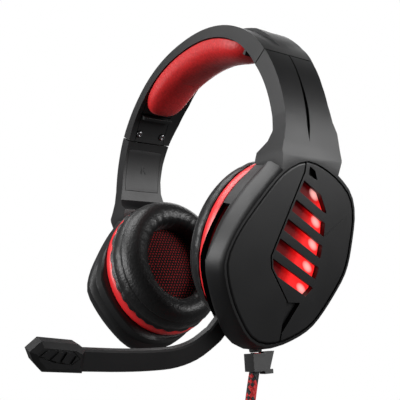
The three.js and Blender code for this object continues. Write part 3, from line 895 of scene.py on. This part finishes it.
@dataclass(frozen=True)
class Arch:
    """Outer line of the headband seen from the front: a superellipse on its spring line."""

    half_width: float = 90.6 * MM
    rise: float = 87.0 * MM
    spring_line: float = -68.0 * MM
    power: float = 2.18
    seam: float = 32.0
    crown: float = 6.0 * MM
    thickness: float = 9.6 * MM

    def rim(self, degrees: np.ndarray) -> np.ndarray:
        """How deep the band's edge is.

        Args:
            degrees: angles from the left spring line over the crown.

        Returns:
            Depths in metres, least at the crown.
        """
        share = ((degrees - 90.0) / (90.0 - self.seam)) ** 2
        return self.crown + (self.thickness - self.crown) * share

    def line(self, degrees: np.ndarray, inset: np.ndarray) -> tuple[np.ndarray, np.ndarray]:
        """Points inside the outer line.

        Args:
            degrees: angles from the left spring line over the crown.
            inset: distance inside the outer line, in metres.

        Returns:
            X and Z of the points.
        """
        angle = np.radians(degrees)
        across = np.sign(np.cos(angle)) * np.abs(np.cos(angle)) ** (2 / self.power)
        up = np.abs(np.sin(angle)) ** (2 / self.power)
        normal_x = np.sign(across) * np.abs(across) ** (self.power - 1) / self.half_width
        normal_z = up ** (self.power - 1) / self.rise
        length = np.hypot(normal_x, normal_z)
        return (
            self.half_width * across - inset * normal_x / length,
            self.spring_line + self.rise * up - inset * normal_z / length,
        )


@dataclass(frozen=True)
class CupFrame:
    """Where a cup leans: depth outwards, then back and up along the cup."""

    side: Side
    offset: float = 48.2 * MM
    lean: float = math.radians(18.5)
    height: float = -115.0 * MM

    def place(self, depth: Any, back: Any, up: Any) -> np.ndarray:
        """Points of the cup in the headset's frame.

        Args:
            depth: distances outwards.
            back: distances backwards.
            up: distances up along the cup.

        Returns:
            Points of shape (..., 3).
        """
        depth, back, up = np.broadcast_arrays(depth, back, up)
        x = self.offset + depth * math.cos(self.lean) + up * math.sin(self.lean)
        z = self.height - depth * math.sin(self.lean) + up * math.cos(self.lean)
        return np.stack([self.side.value * x, back.astype(float), z], axis=-1)


@dataclass(frozen=True)
class Oval:
    """Squeezes round sections into the cup's oval, which leans back and is shifted at its rim."""

    width: float = 39.0 * MM
    height: float = 45.0 * MM
    inner: float = 27.0 * MM
    inner_squash: float = 0.76
    lean: float = math.radians(17.0)
    before: float = 1.1 * MM
    above: float = 1.1 * MM

    def spin(self, profile: np.ndarray, steps: int, cup: CupFrame) -> np.ndarray:
        """Turns a section round the cup.

        Args:
            profile: points of radius and depth, of shape (n, 2) or (steps, n, 2).
            steps: sections round the cup.
            cup: the cup's frame.

        Returns:
            Points of shape (steps, n, 3).
        """
        angle = np.linspace(0.0, 2 * math.pi, steps, endpoint=False)[:, None]
        radius = np.broadcast_to(profile[..., 0], (steps, profile.shape[-2]))
        depth = np.broadcast_to(profile[..., 1], (steps, profile.shape[-2]))
        share = np.clip((radius - self.inner) / (self.height - self.inner), 0.0, 1.0)
        outer_squash = self.width / self.height
        squash = self.inner_squash + (outer_squash - self.inner_squash) * share
        across = radius * np.cos(angle) * squash
        along = radius * np.sin(angle)
        back = across * math.cos(self.lean) + along * math.sin(self.lean) - self.before * share
        up = along * math.cos(self.lean) - across * math.sin(self.lean) + self.above * share
        return cup.place(depth, back, up)


# ---------------------------------------------------------------- sub-assemblies


@dataclass
class Workshop:
    """Makes each finish once and puts finished pieces on their bodies."""

    finishes: dict[Slot, Finish]
    made: dict[Slot, bpy.types.Material] = field(default_factory=dict)
    weld_reach: float = 0.004 * MM
    flat_within: float = math.radians(0.6)
    sharp_from: float = math.radians(32.0)

    def material(self, slot: Slot) -> bpy.types.Material:
        """The material of a slot, made when it is first asked for.

        Args:
            slot: the slot.

        Returns:
            The one material of the slot.
        """
        if slot not in self.made:
            self.made[slot] = self.finishes[slot].material()
        return self.made[slot]

    def paint(self, piece: bpy.types.Object, slot: Slot) -> None:
        """Gives a piece the one material of a slot.

        Args:
            piece: the piece.
            slot: the slot.
        """
        piece.data.materials.clear()
        piece.data.materials.append(self.material(slot))

    def fit(
        self, piece: bpy.types.Object, slot: Slot, body: Body, stands_for: tuple[str, ...] = ()
    ) -> bpy.types.Object:
        """Paints a new piece, puts it on its body and hides what it stands for.

        Args:
            piece: the new piece, in place.
            slot: its material slot.
            body: the body that it moves with.
            stands_for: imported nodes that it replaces.

        Returns:
            The piece.
        """
        self.paint(piece, slot)
        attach(piece, body.value)
        if stands_for:
            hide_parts(*stands_for)
        LOG.info("%s rides on %s", piece.name, body.value)
        return piece

    def keep(
        self, node: str, slot: Slot, edge: float, segments: int = 2, merge: bool = True
    ) -> None:
        """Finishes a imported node: rounded edges, even shading and its material.

        Args:
            node: the node's name.
            slot: its material slot.
            edge: width of the rounded edges in metres; 0 leaves them sharp.
            segments: steps in a rounded edge.
            merge: whether faces that lie in one plane become one.
        """
        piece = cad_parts[node]
        self.paint(piece, slot)
        piece.data.polygons.foreach_set("use_smooth", [True] * len(piece.data.polygons))
        weld = piece.modifiers.new("Weld", "WELD")
        weld.merge_threshold = self.weld_reach
        if merge:
            flat = piece.modifiers.new("Flat", "DECIMATE")
            flat.decimate_type = "DISSOLVE"
            flat.angle_limit = self.flat_within
        if edge > 0:
            bevel = piece.modifiers.new("Edges", "BEVEL")
            bevel.width = edge
            bevel.segments = segments
            bevel.limit_method = "ANGLE"
            bevel.angle_limit = self.sharp_from
            bevel.miter_outer = "MITER_ARC"
        even = piece.modifiers.new("Even", "WEIGHTED_NORMAL")
        even.weight = 50
        LOG.info("%s is kept with %.2f mm edges", node, edge / MM)


@dataclass
class Headband:
    """Crown with its cushion, liners and screws."""

    shop: Workshop
    arch: Arch = field(default_factory=Arch)
    cushion_from: float = 49.4
    cushion_depth: float = 19.0 * MM
    cushion_front: float = -12.2 * MM
    cushion_back: float = 16.3 * MM
    cushion_lift: float = 0.55 * MM
    cushion_rows: int = 84
    cushion_columns: int = 40
    pucker: float = 0.04 * MM
    screw_angle: float = 36.5
    screw_rows: tuple[float, float] = (-7.5 * MM, 10.5 * MM)
    screw_sides: int = 24

    def build(self) -> None:
        """Builds and finishes the whole headband."""
        self.cushion()
        self.screws()
        self.shop.keep("crown_shell", Slot.SHELL, 0.7 * MM, 3)
        self.shop.keep("spring_band", Slot.SPRING, 0.0)
        self.shop.keep("cushion_carrier", Slot.DARK, 0.3 * MM)
        for side in Side:
            self.shop.keep(f"{side.word}_slider_liner", Slot.SHELL, 0.5 * MM)

    def cushion(self) -> bpy.types.Object:
        """The padded red cushion: a fat crowned roll with rounded ends.

        Returns:
            The cushion.
        """
        along = self.cushion_rows
        around = self.cushion_columns
        degrees = np.linspace(self.cushion_from, 180.0 - self.cushion_from, along)[:, None]
        off = np.abs(degrees - 90.0) / (90.0 - self.cushion_from)
        angle = np.linspace(0.0, 2 * math.pi, around, endpoint=False)[None, :]
        middle = (self.cushion_front + self.cushion_back) / 2
        half = (self.cushion_back - self.cushion_front) / 2
        plan = np.maximum(1.0 - off**7, 0.0) ** 0.42 * 0.97 + 0.03
        seat = self.arch.rim(degrees) + self.cushion_lift
        swell = np.maximum(1.0 - off**6, 0.0) ** 0.5 * 0.96 + 0.04
        lift = np.where(np.sin(angle) > 0, np.sin(angle), 0.0) ** 0.62
        inset = seat + (self.cushion_depth - seat) * swell * lift
        rng = np.random.default_rng(11)
        waves = sum(
            np.sin(degrees * rate + shift)
            for rate, shift in zip((0.9, 1.7, 2.6, 3.9), rng.uniform(0, 6, 4))
        )
        near_edge = np.clip(1.0 - np.abs(np.sin(angle)) * 1.6, 0.0, 1.0) ** 2
        edge = np.sign(np.cos(angle))
        y = middle + half * plan * edge * np.abs(np.cos(angle)) ** 0.8
        y = y + waves * near_edge * self.pucker * edge
        x, z = self.arch.line(np.broadcast_to(degrees, inset.shape), inset)
        piece = skin("cushion_cover", np.stack([x, np.broadcast_to(y, x.shape), z], axis=-1))
        held = [i * around + j for i in range(along) for j in range(around // 2, around)]
        Inflation(cap=0.8 * MM).run(piece, held)
        subdivide(piece, 1)
        return self.shop.fit(piece, Slot.RED_LEATHER, Body.HEADBAND, ("headband_cushion",))

    def screws(self) -> None:
        """Four domed screws with a round socket, in the liners."""
        profile = [
            (0.2, 0.7), (1.1, 0.7), (1.15, 1.35), (1.5, 1.4), (2.0, 1.15), (2.3, 0.5),
            (2.3, -0.6), (1.0, -0.7), (1.0, -5.2), (0.2, -5.2),
        ]
        turn = np.linspace(0.0, 2 * math.pi, self.screw_sides, endpoint=False)[:, None]
        for side in Side:
            degrees = self.screw_angle if side is Side.LEFT else 180.0 - self.screw_angle
            rim = self.arch.rim(np.array(degrees))
            x, z = self.arch.line(np.array(degrees), rim)
            inner_x, inner_z = self.arch.line(np.array(degrees), rim + 1 * MM)
            inward = np.array([inner_x - x, 0.0, inner_z - z]) / MM
            side_ways = np.cross(inward, [0.0, 1.0, 0.0])
            for word, y in zip(("front", "back"), self.screw_rows):
                centre = np.array([float(x), y, float(z)])
                rows = []
                for radius, lift in profile:
                    narrowed = 1.0 if radius > 1.2 or lift < 0 else 0.93
                    ring = np.cos(turn) * np.array([0.0, 1.0, 0.0]) + np.sin(turn) * side_ways
                    rows.append(centre + inward * lift * MM + radius * narrowed * MM * ring)
                piece = skin(f"{side.word}_dome_screw_{word}", np.array(rows))
                node = f"{side.word}_screw_{word}"
                self.shop.fit(piece, Slot.SCREW, Body.HEADBAND, (node,))


@dataclass
class Cup:
    """One arm with its cup: shell, cover, light, accent ring, pad and driver."""

    shop: Workshop
    side: Side
    arch: Arch = field(default_factory=Arch)
    oval: Oval = field(default_factory=Oval)
    ring_steps: int = 180
    pad_steps: int = 144
    pad_scallops: int = 15
    cloth_reach: float = 29.0
    cloth_dome: float = 1.3
    cloth_rings: int = 14
    mark_angle: float = 17.0
    mark_size: float = 8.0 * MM
    mark_back: float = 0.6 * MM

    @property
    def body(self) -> Body:
        """The body that the cup rides on."""
        return Body.LEFT_ARM if self.side is Side.LEFT else Body.RIGHT_ARM

    @property
    def cup(self) -> CupFrame:
        """The leaning frame of the cup."""
        return CupFrame(self.side)

    def build(self, pad_from: bpy.types.Object | None = None) -> bpy.types.Object:
        """Builds and finishes the cup.

        Args:
            pad_from: the other cup's pad, which this one mirrors; None makes a new pad.

        Returns:
            The ear pad.
        """
        word = self.side.word
        self.accent_ring()
        self.speaker_cloth()
        self.mark()
        pad = self.pad() if pad_from is None else mirrored(pad_from, f"{word}_pad_cover")
        subdivide(pad, 1)
        self.shop.fit(pad, Slot.BLACK_LEATHER, self.body, (f"{word}_ear_pad",))
        self.shop.keep(f"{word}_arm_housing", Slot.SHELL, 0.8 * MM, 3)
        self.shop.keep(f"{word}_arm_inner_cover", Slot.SHELL, 0.15 * MM, 1)
        self.shop.keep(f"{word}_cover_front_plate", Slot.SHELL, 0.55 * MM, 3)
        self.shop.keep(f"{word}_cover_rear_plate", Slot.SHELL, 0.25 * MM, 2, False)
        self.shop.keep(f"{word}_light_guide", Slot.GLOW, 0.0)
        self.shop.keep(f"{word}_led_board", Slot.BOARD, 0.0)
        self.shop.keep(f"{word}_inner_cup", Slot.DARK, 0.0)
        self.shop.keep(f"{word}_baffle", Slot.DARK, 0.0)
        self.shop.keep(f"{word}_driver_basket", Slot.DRIVER, 0.0)
        self.shop.keep(f"{word}_diaphragm", Slot.FILM, 0.0)
        return pad

    def accent_ring(self) -> bpy.types.Object:
        """The satin red ring between pad and housing.

        Returns:
            The ring.
        """
        high = self.oval.height / MM
        section = rounded(
            [
                (high - 4.5, 0.85), (high - 2.0, 0.8), (high - 0.7, 1.0), (high - 0.05, 2.2),
                (high + 0.25, 4.2), (high - 0.05, 6.3), (high - 0.7, 7.45), (high - 4.5, 7.5),
            ],
            3,
        )
        points = self.oval.spin(section * MM, self.ring_steps, self.cup)
        piece = skin(f"{self.side.word}_red_ring", points, loop=True)
        return self.shop.fit(piece, Slot.RED, self.body, (f"{self.side.word}_accent_ring",))

    def pad(self) -> bpy.types.Object:
        """The stuffed ear pad: crowned face, sewn edge, side wall and wavy elastic skirt.

        Returns:
            The pad, not yet on its body.
        """
        section = rounded(
            [
                (28.8, -0.2), (27.6, -3.0), (27.0, -7.5), (27.2, -11.5), (28.9, -14.6), (32.0, -16.2),
                (35.6, -16.5), (38.8, -15.4), (41.2, -13.2), (42.5, -10.8), (42.9, -9.8),
                (42.6, -9.2), (43.2, -8.6), (44.1, -6.4), (44.4, -3.8), (44.1, -1.6), (44.45, -0.3),
                (44.1, 0.35), (42.6, 0.4), (39.0, 0.2), (38.0, -0.2),
            ],
            3,
        )
        steps = self.pad_steps
        angle = np.linspace(0.0, 2 * math.pi, steps, endpoint=False)[:, None]
        count = len(section)
        share = (np.arange(count) / count)[None, :]
        rng = np.random.default_rng(5)
        waves = [(int(n), p) for n, p in zip(rng.integers(9, 46, 14), rng.uniform(0, 6.3, 14))]
        inner = np.exp(-(((share - 0.17) / 0.09) ** 2))
        outer = np.exp(-(((share - 0.66) / 0.08) ** 2))
        skirt = np.exp(-(((share - 0.78) / 0.04) ** 2))
        fold_in = sum(np.sin(n * angle + p + share * 9) for n, p in waves[:7]) / 7
        fold_out = sum(np.sin(n * angle + p - share * 14) for n, p in waves[7:]) / 7
        scallop = np.sin(self.pad_scallops * angle + 1.4 * np.sin(3 * angle))
        scallop = np.abs(scallop) ** 0.7 - 0.2
        profile = np.broadcast_to(section, (steps, count, 2)).copy()
        profile[..., 0] += 0.75 * fold_in * inner + 0.6 * fold_out * outer + 1.2 * scallop * skirt
        profile[..., 1] += 0.45 * fold_in * inner + 1.2 * scallop * skirt
        points = self.oval.spin(profile * MM, steps, self.cup)
        piece = skin(f"{self.side.word}_pad_cover", points, loop=True)
        sewn = [j for j in range(count) if section[j, 1] > -1.4 or abs(section[j, 1] + 9.0) < 0.7]
        Inflation(cap=0.7 * MM).run(piece, [i * count + j for i in range(steps) for j in sewn])
        return piece

    def speaker_cloth(self) -> bpy.types.Object:
        """The dotted cloth over the driver, slightly domed towards the ear.

        Returns:
            The cloth.
        """
        radius = np.linspace(0.4, self.cloth_reach, self.cloth_rings)
        depth = 0.5 - self.cloth_dome * (1.0 - (radius / self.cloth_reach) ** 2)
        front = np.stack([radius, depth - 0.15], axis=-1)
        back = np.stack([radius[::-1], np.full(self.cloth_rings, 0.85)], axis=-1)
        points = self.oval.spin(np.concatenate([front, back]) * MM, 96, self.cup)
        rows = np.swapaxes(points, 0, 1)
        lean = self.cup.lean
        up = (np.abs(rows[..., 0]) - self.cup.offset) * math.sin(lean)
        up = up + (rows[..., 2] - self.cup.height) * math.cos(lean)
        uv = np.stack([rows[..., 1], up], axis=-1)
        piece = skin(f"{self.side.word}_dotted_cloth", rows, uv=uv)
        return self.shop.fit(piece, Slot.CLOTH, self.body, (f"{self.side.word}_speaker_mesh",))

    def mark(self) -> bpy.types.Object:
        """The raised letter inside the arm that tells left from right.

        Returns:
            The letter.
        """
        text = bpy.data.curves.new(f"{self.side.word}_letter", "FONT")
        text.body = self.side.name[0]
        text.size = self.mark_size
        text.extrude = 0.12 * MM
        text.bevel_depth = 0.03 * MM
        text.align_x = "CENTER"
        text.align_y = "CENTER"
        holder = linked("letter_source", text)
        bpy.context.view_layer.update()
        shape = holder.evaluated_get(bpy.context.evaluated_depsgraph_get())
        mesh = bpy.data.meshes.new_from_object(shape)
        bpy.data.objects.remove(holder)
        degrees = self.mark_angle if self.side is Side.LEFT else 180.0 - self.mark_angle
        near, far = np.array(self.arch.thickness), np.array(self.arch.thickness + MM)
        x, z = self.arch.line(np.array(degrees), near)
        inner_x, inner_z = self.arch.line(np.array(degrees), far)
        normal = Vector((float(inner_x - x), 0.0, float(inner_z - z))).normalized()
        right = Vector((0.0, -float(self.side.value), 0.0))
        upward = normal.cross(right)
        turn = Matrix((right, upward, normal)).transposed().to_4x4()
        turn.translation = Vector((float(x), self.mark_back, float(z))) + normal * 0.05 * MM
        mesh.transform(turn)
        return self.shop.fit(linked(f"{self.side.word}_letter", mesh), Slot.DARK, self.body)


@dataclass
class Boom:
    """The microphone boom with its head."""

    shop: Workshop

    def build(self) -> None:
        """Finishes the boom's pieces."""
        self.shop.keep("mic_boom_arm", Slot.SHELL, 0.9 * MM, 3)
        self.shop.keep("mic_pivot_cap", Slot.DARK, 0.3 * MM)
        self.shop.keep("mic_head_shell", Slot.SHELL, 0.5 * MM, 2)
        self.shop.keep("mic_grille", Slot.SHELL, 0.2 * MM)
        self.shop.keep("mic_capsule", Slot.DRIVER, 0.0)


@dataclass
class Cable:
    """The braided cable: out of the left cup, down into a tied coil, and into its plug."""

    shop: Workshop
    diameter: float = 5.2 * MM
    length: float = 2.0
    route: tuple[tuple[float, float, float], ...] = (
        (45.6, -8.0, -169.4), (45.5, -8.6, -175.0), (45.1, -10.6, -183.0),
        (44.6, -12.9, -193.0), (44.1, -14.6, -202.0),
    )
    plug_end: tuple[tuple[float, float, float], ...] = (
        (14.8, 8.0, 28.3), (15.0, 16.5, 31.6), (15.0, 25.0, 30.4),
        (15.0, 30.0, 25.6), (15.0, 31.0, 20.5), (15.0, 31.0, 17.0),
    )
    coil_centre: tuple[float, float, float] = (43.8, -15.6, -252.0)
    coil_mean: float = 31.0
    coil_half: float = 7.8
    coil_start: float = math.radians(52.0)
    layers: int = 3
    turns_in_layer: float = 3.0
    turns_between: float = 0.17
    sides: int = 12
    spacing: float = 2.6 * MM

    def centreline(self) -> np.ndarray:
        """The cable's whole line.

        Returns:
            Points of shape (n, 3), in metres.
        """
        step = self.diameter / MM
        points = [np.array(p) for p in self.route]
        centre = np.array(self.coil_centre)
        points.append(centre + (-self.coil_half * 0.8, 4.5, 42.0))
        points.append(centre + (-self.coil_half * 0.95, 14.5, 36.2))
        total = 0.0
        for layer in range(self.layers):
            radius = self.coil_mean + step * (1 - layer)
            way = 1 if layer % 2 == 0 else -1
            for share in np.linspace(0.0, 1.0, int(self.turns_in_layer * 16), endpoint=False):
                turned = self.coil_start + 2 * math.pi * (total + self.turns_in_layer * share)
                x = way * self.coil_half * (2 * share - 1)
                points.append(centre + (x, radius * math.sin(turned), radius * math.cos(turned)))
            total += self.turns_in_layer + (self.turns_between if layer < self.layers - 1 else 0.0)
        last = self.coil_start + 2 * math.pi * total
        radius = self.coil_mean - step
        finish = 2 * math.pi * math.ceil(last / (2 * math.pi))
        for share in np.linspace(0.0, 1.0, 9):
            turned = last + (finish - last) * share
            x = self.coil_half + 5.8 * max(0.0, (share - 0.45) / 0.55) ** 1.3
            points.append(centre + (x, radius * math.sin(turned), radius * math.cos(turned)))
        points.extend(centre + offset for offset in self.plug_end)
        return self._evened(np.array(points) * MM)

    def _evened(self, knots: np.ndarray) -> np.ndarray:
        """A smooth line through knots, with points a set distance apart.

        Args:
            knots: points of shape (n, 3).

        Returns:
            Points of shape (m, 3).
        """
        count = len(knots)
        line = []
        for i in range(count - 1):
            p = knots[[max(i - 1, 0), i, i + 1, min(i + 2, count - 1)]]
            line.extend(glide(p, t) for t in np.linspace(0.0, 1.0, 8, endpoint=False))
        line.append(knots[-1])
        dense = np.array(line)
        gone = np.concatenate([[0.0], np.cumsum(np.linalg.norm(np.diff(dense, axis=0), axis=1))])
        even = np.linspace(0.0, gone[-1], int(gone[-1] / self.spacing) + 1)
        return np.stack([np.interp(even, gone, dense[:, k]) for k in range(3)], axis=-1)

    def build(self) -> None:
        """Builds the cable and finishes what is on it."""
        line = self.centreline()
        ways = np.gradient(line, axis=0)
        ways /= np.linalg.norm(ways, axis=1, keepdims=True)
        side_ways = np.array([0.0, 1.0, 0.0])
        rows = []
        turn = np.linspace(0.0, 2 * math.pi, self.sides, endpoint=False)[:, None]
        for place, way in zip(line, ways):
            side_ways = side_ways - way * (side_ways @ way)
            side_ways /= np.linalg.norm(side_ways)
            other = np.cross(way, side_ways)
            ring = np.cos(turn) * side_ways + np.sin(turn) * other
            rows.append(place + ring * self.diameter / 2)
        gone = np.concatenate([[0.0], np.cumsum(np.linalg.norm(np.diff(line, axis=0), axis=1))])
        piece = skin("braided_cable", np.array(rows), along=np.append(gone, gone[-1]))
        LOG.info("the cable is %.3f m long", gone[-1])
        tuple(c * MM for c in self.route[0])
        self.shop.fit(piece, Slot.BRAID, Body.LEFT_ARM, ("cable", "cable_coil"))
        self.shop.keep("cable_strain_relief", Slot.RUBBER, 0.3 * MM)
        self.shop.keep("cable_clip", Slot.DARK, 0.35 * MM)
        self.shop.keep("cable_tie", Slot.STRAP, 0.4 * MM)
        self.shop.keep("plug_body", Slot.DARK, 0.8 * MM, 3)
        self.shop.keep("plug_contact", Slot.CONTACT, 0.15 * MM)


# ---------------------------------------------------------------- studio


@dataclass(frozen=True)
class Lamp:
    """A soft square light that looks at the headset."""

    name: str
    place: tuple[float, float, float]
    size: float
    power: float
    aim: tuple[float, float, float] = (0.0, 0.0, -0.08)

    def build(self) -> None:
        """Adds the light."""
        light = bpy.data.lights.new(self.name, "AREA")
        light.size = self.size
        light.energy = self.power
        lamp = linked(self.name, light)
        lamp.location = self.place
        way = Vector(self.aim) - Vector(self.place)
        lamp.rotation_euler = way.to_track_quat("-Z", "Y").to_euler()


@dataclass(frozen=True)
class Studio:
    """Camera, soft lights, pale floor and white surroundings."""

    camera_place: tuple[float, float, float] = (0.29513, -0.20889, -0.15927)
    azimuth: float = 0.9669
    elevation: float = -0.2154
    roll: float = -0.0555
    lens: float = 55.513
    floor_drop: float = 1.0 * MM
    floor_radius: float = 0.85
    floor_corners: int = 96
    sky: float = 0.10
    lamps: tuple[Lamp, ...] = (
        Lamp("top_softbox", (-0.25, -0.35, 0.95), 0.8, 9.0),
        Lamp("left_softbox", (-0.35, -1.05, 0.25), 0.7, 11.0),
        Lamp("right_softbox", (1.0, 0.62, 0.10), 0.6, 10.0),
        Lamp("back_softbox", (-0.6, 0.9, 0.5), 0.8, 6.0),
    )

    def camera(self) -> None:
        """Adds the camera."""
        a, e = self.azimuth, self.elevation
        back = Vector((math.sin(a) * math.cos(e), -math.cos(a) * math.cos(e), math.sin(e)))
        level = Vector((math.cos(a), math.sin(a), 0.0))
        upright = back.cross(level)
        right = level * math.cos(self.roll) + upright * math.sin(self.roll)
        up = upright * math.cos(self.roll) - level * math.sin(self.roll)
        data = bpy.data.cameras.new("camera")
        data.lens = self.lens
        data.clip_start = 0.01
        camera = linked("camera", data)
        turn = Matrix((right, up, back)).transposed().to_4x4()
        turn.translation = Vector(self.camera_place)
        camera.matrix_world = turn
        bpy.context.scene.camera = camera

    def build(self, lowest: float) -> None:
        """Adds floor, surroundings and lights.

        Args:
            lowest: height of the headset's lowest point.
        """
        turns = np.linspace(0.0, 2 * math.pi, self.floor_corners, endpoint=False)
        level = lowest - self.floor_drop
        reach = self.floor_radius
        rim = [(reach * math.cos(t), reach * math.sin(t), level) for t in turns]
        mesh = bpy.data.meshes.new("floor")
        mesh.from_pydata(rim, [], [tuple(range(self.floor_corners))])
        floor = linked("floor", mesh)
        mesh.materials.append(PaleFloor("pale_floor").material())
        floor.visible_diffuse = False
        floor.visible_glossy = False
        floor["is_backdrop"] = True
        self.surroundings()
        for lamp in self.lamps:
            lamp.build()

    def surroundings(self) -> None:
        """White backdrop for the eye, and a dimmer sky for the light."""
        scene = bpy.context.scene
        scene.view_settings.view_transform = "Standard"
        world = bpy.data.worlds.new("surroundings")
        scene.world = world
        world.use_nodes = True
        tree = world.node_tree
        tree.nodes.clear()
        seen = tree.nodes.new("ShaderNodeBackground")
        seen.inputs[0].default_value = (1.0, 1.0, 1.0, 1.0)
        lit = tree.nodes.new("ShaderNodeBackground")
        lit.inputs[0].default_value = (1.0, 1.0, 1.0, 1.0)
        lit.inputs[1].default_value = self.sky
        path = tree.nodes.new("ShaderNodeLightPath")
        mix = tree.nodes.new("ShaderNodeMixShader")
        end = tree.nodes.new("ShaderNodeOutputWorld")
        tree.links.new(path.outputs["Is Camera Ray"], mix.inputs[0])
        tree.links.new(lit.outputs[0], mix.inputs[1])
        tree.links.new(seen.outputs[0], mix.inputs[2])
        tree.links.new(mix.outputs[0], end.inputs[0])


# ---------------------------------------------------------------- assembly


def finishes() -> dict[Slot, Finish]:
    """Every finish of the headset.

    Returns:
        The finishes, by material slot.
    """
    cup = CupFrame(Side.LEFT)
    return {
        Slot.SHELL: MouldedPlastic("satin_black_plastic", (0.0045, 0.0045, 0.005), 0.44),
        Slot.DARK: MouldedPlastic("plain_black_plastic", (0.004, 0.004, 0.0045), 0.5),
        Slot.RED: MouldedPlastic("satin_red_plastic", (0.92, 0.022, 0.026), 0.34, coat=0.3),
        # In both leatherettes the second colour is painted shade for the pebble valleys, mixed with
        # random darker tone.
        Slot.RED_LEATHER: Leatherette(
            "red_pebbled_leatherette", (0.86, 0.022, 0.024), (0.48, 0.008, 0.010), 1.3 * MM, 0.13 * MM
        ),
        Slot.BLACK_LEATHER: Leatherette(
            "black_soft_leatherette", (0.011, 0.011, 0.0115), (0.004, 0.004, 0.004), 1.3 * MM,
            0.16 * MM, 7 * MM, 0.36, 0.05,
        ),
        Slot.CLOTH: DottedCloth("red_dot_mesh_cloth", (0.30, 0.003, 0.005), (0.002, 0.0015, 0.0015)),
        Slot.GLOW: GlowWindow("lit_red_window", cup.lean, cup.offset, cup.height),
        Slot.BOARD: BoardMask("green_board", (0.02, 0.10, 0.04)),
        Slot.FILM: MouldedPlastic("speaker_film", (0.55, 0.5, 0.42), 0.4),
        Slot.SPRING: Metal("spring_steel", (0.55, 0.56, 0.58)),
        Slot.SCREW: Metal("dark_screw_steel", (0.30, 0.30, 0.31), 0.3),
        Slot.DRIVER: Metal("plated_steel", (0.5, 0.5, 0.5), 0.35),
        Slot.CONTACT: Metal("nickel_contact", (0.78, 0.77, 0.74), 0.22),
        Slot.RUBBER: MouldedPlastic("soft_rubber", (0.02, 0.02, 0.02), 0.7),
        Slot.BRAID: BraidedSleeve("red_black_braid", (0.72, 0.012, 0.014), (0.010, 0.010, 0.011)),
        Slot.STRAP: WovenStrap("black_tape", (0.012, 0.012, 0.012)),
    }


def main() -> None:
    """Builds the headset in order."""
    logging.basicConfig(level=logging.INFO, format="%(name)s: %(message)s")
    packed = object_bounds()
    studio = Studio()
    studio.camera()
    shop = Workshop(finishes())
    Cable(shop).build()
    Headband(shop).build()
    pad = Cup(shop, Side.LEFT).build()
    Cup(shop, Side.RIGHT).build(pad)
    Boom(shop).build()
    studio.build(packed[0].z)


if __name__ == "__main__":
    main()
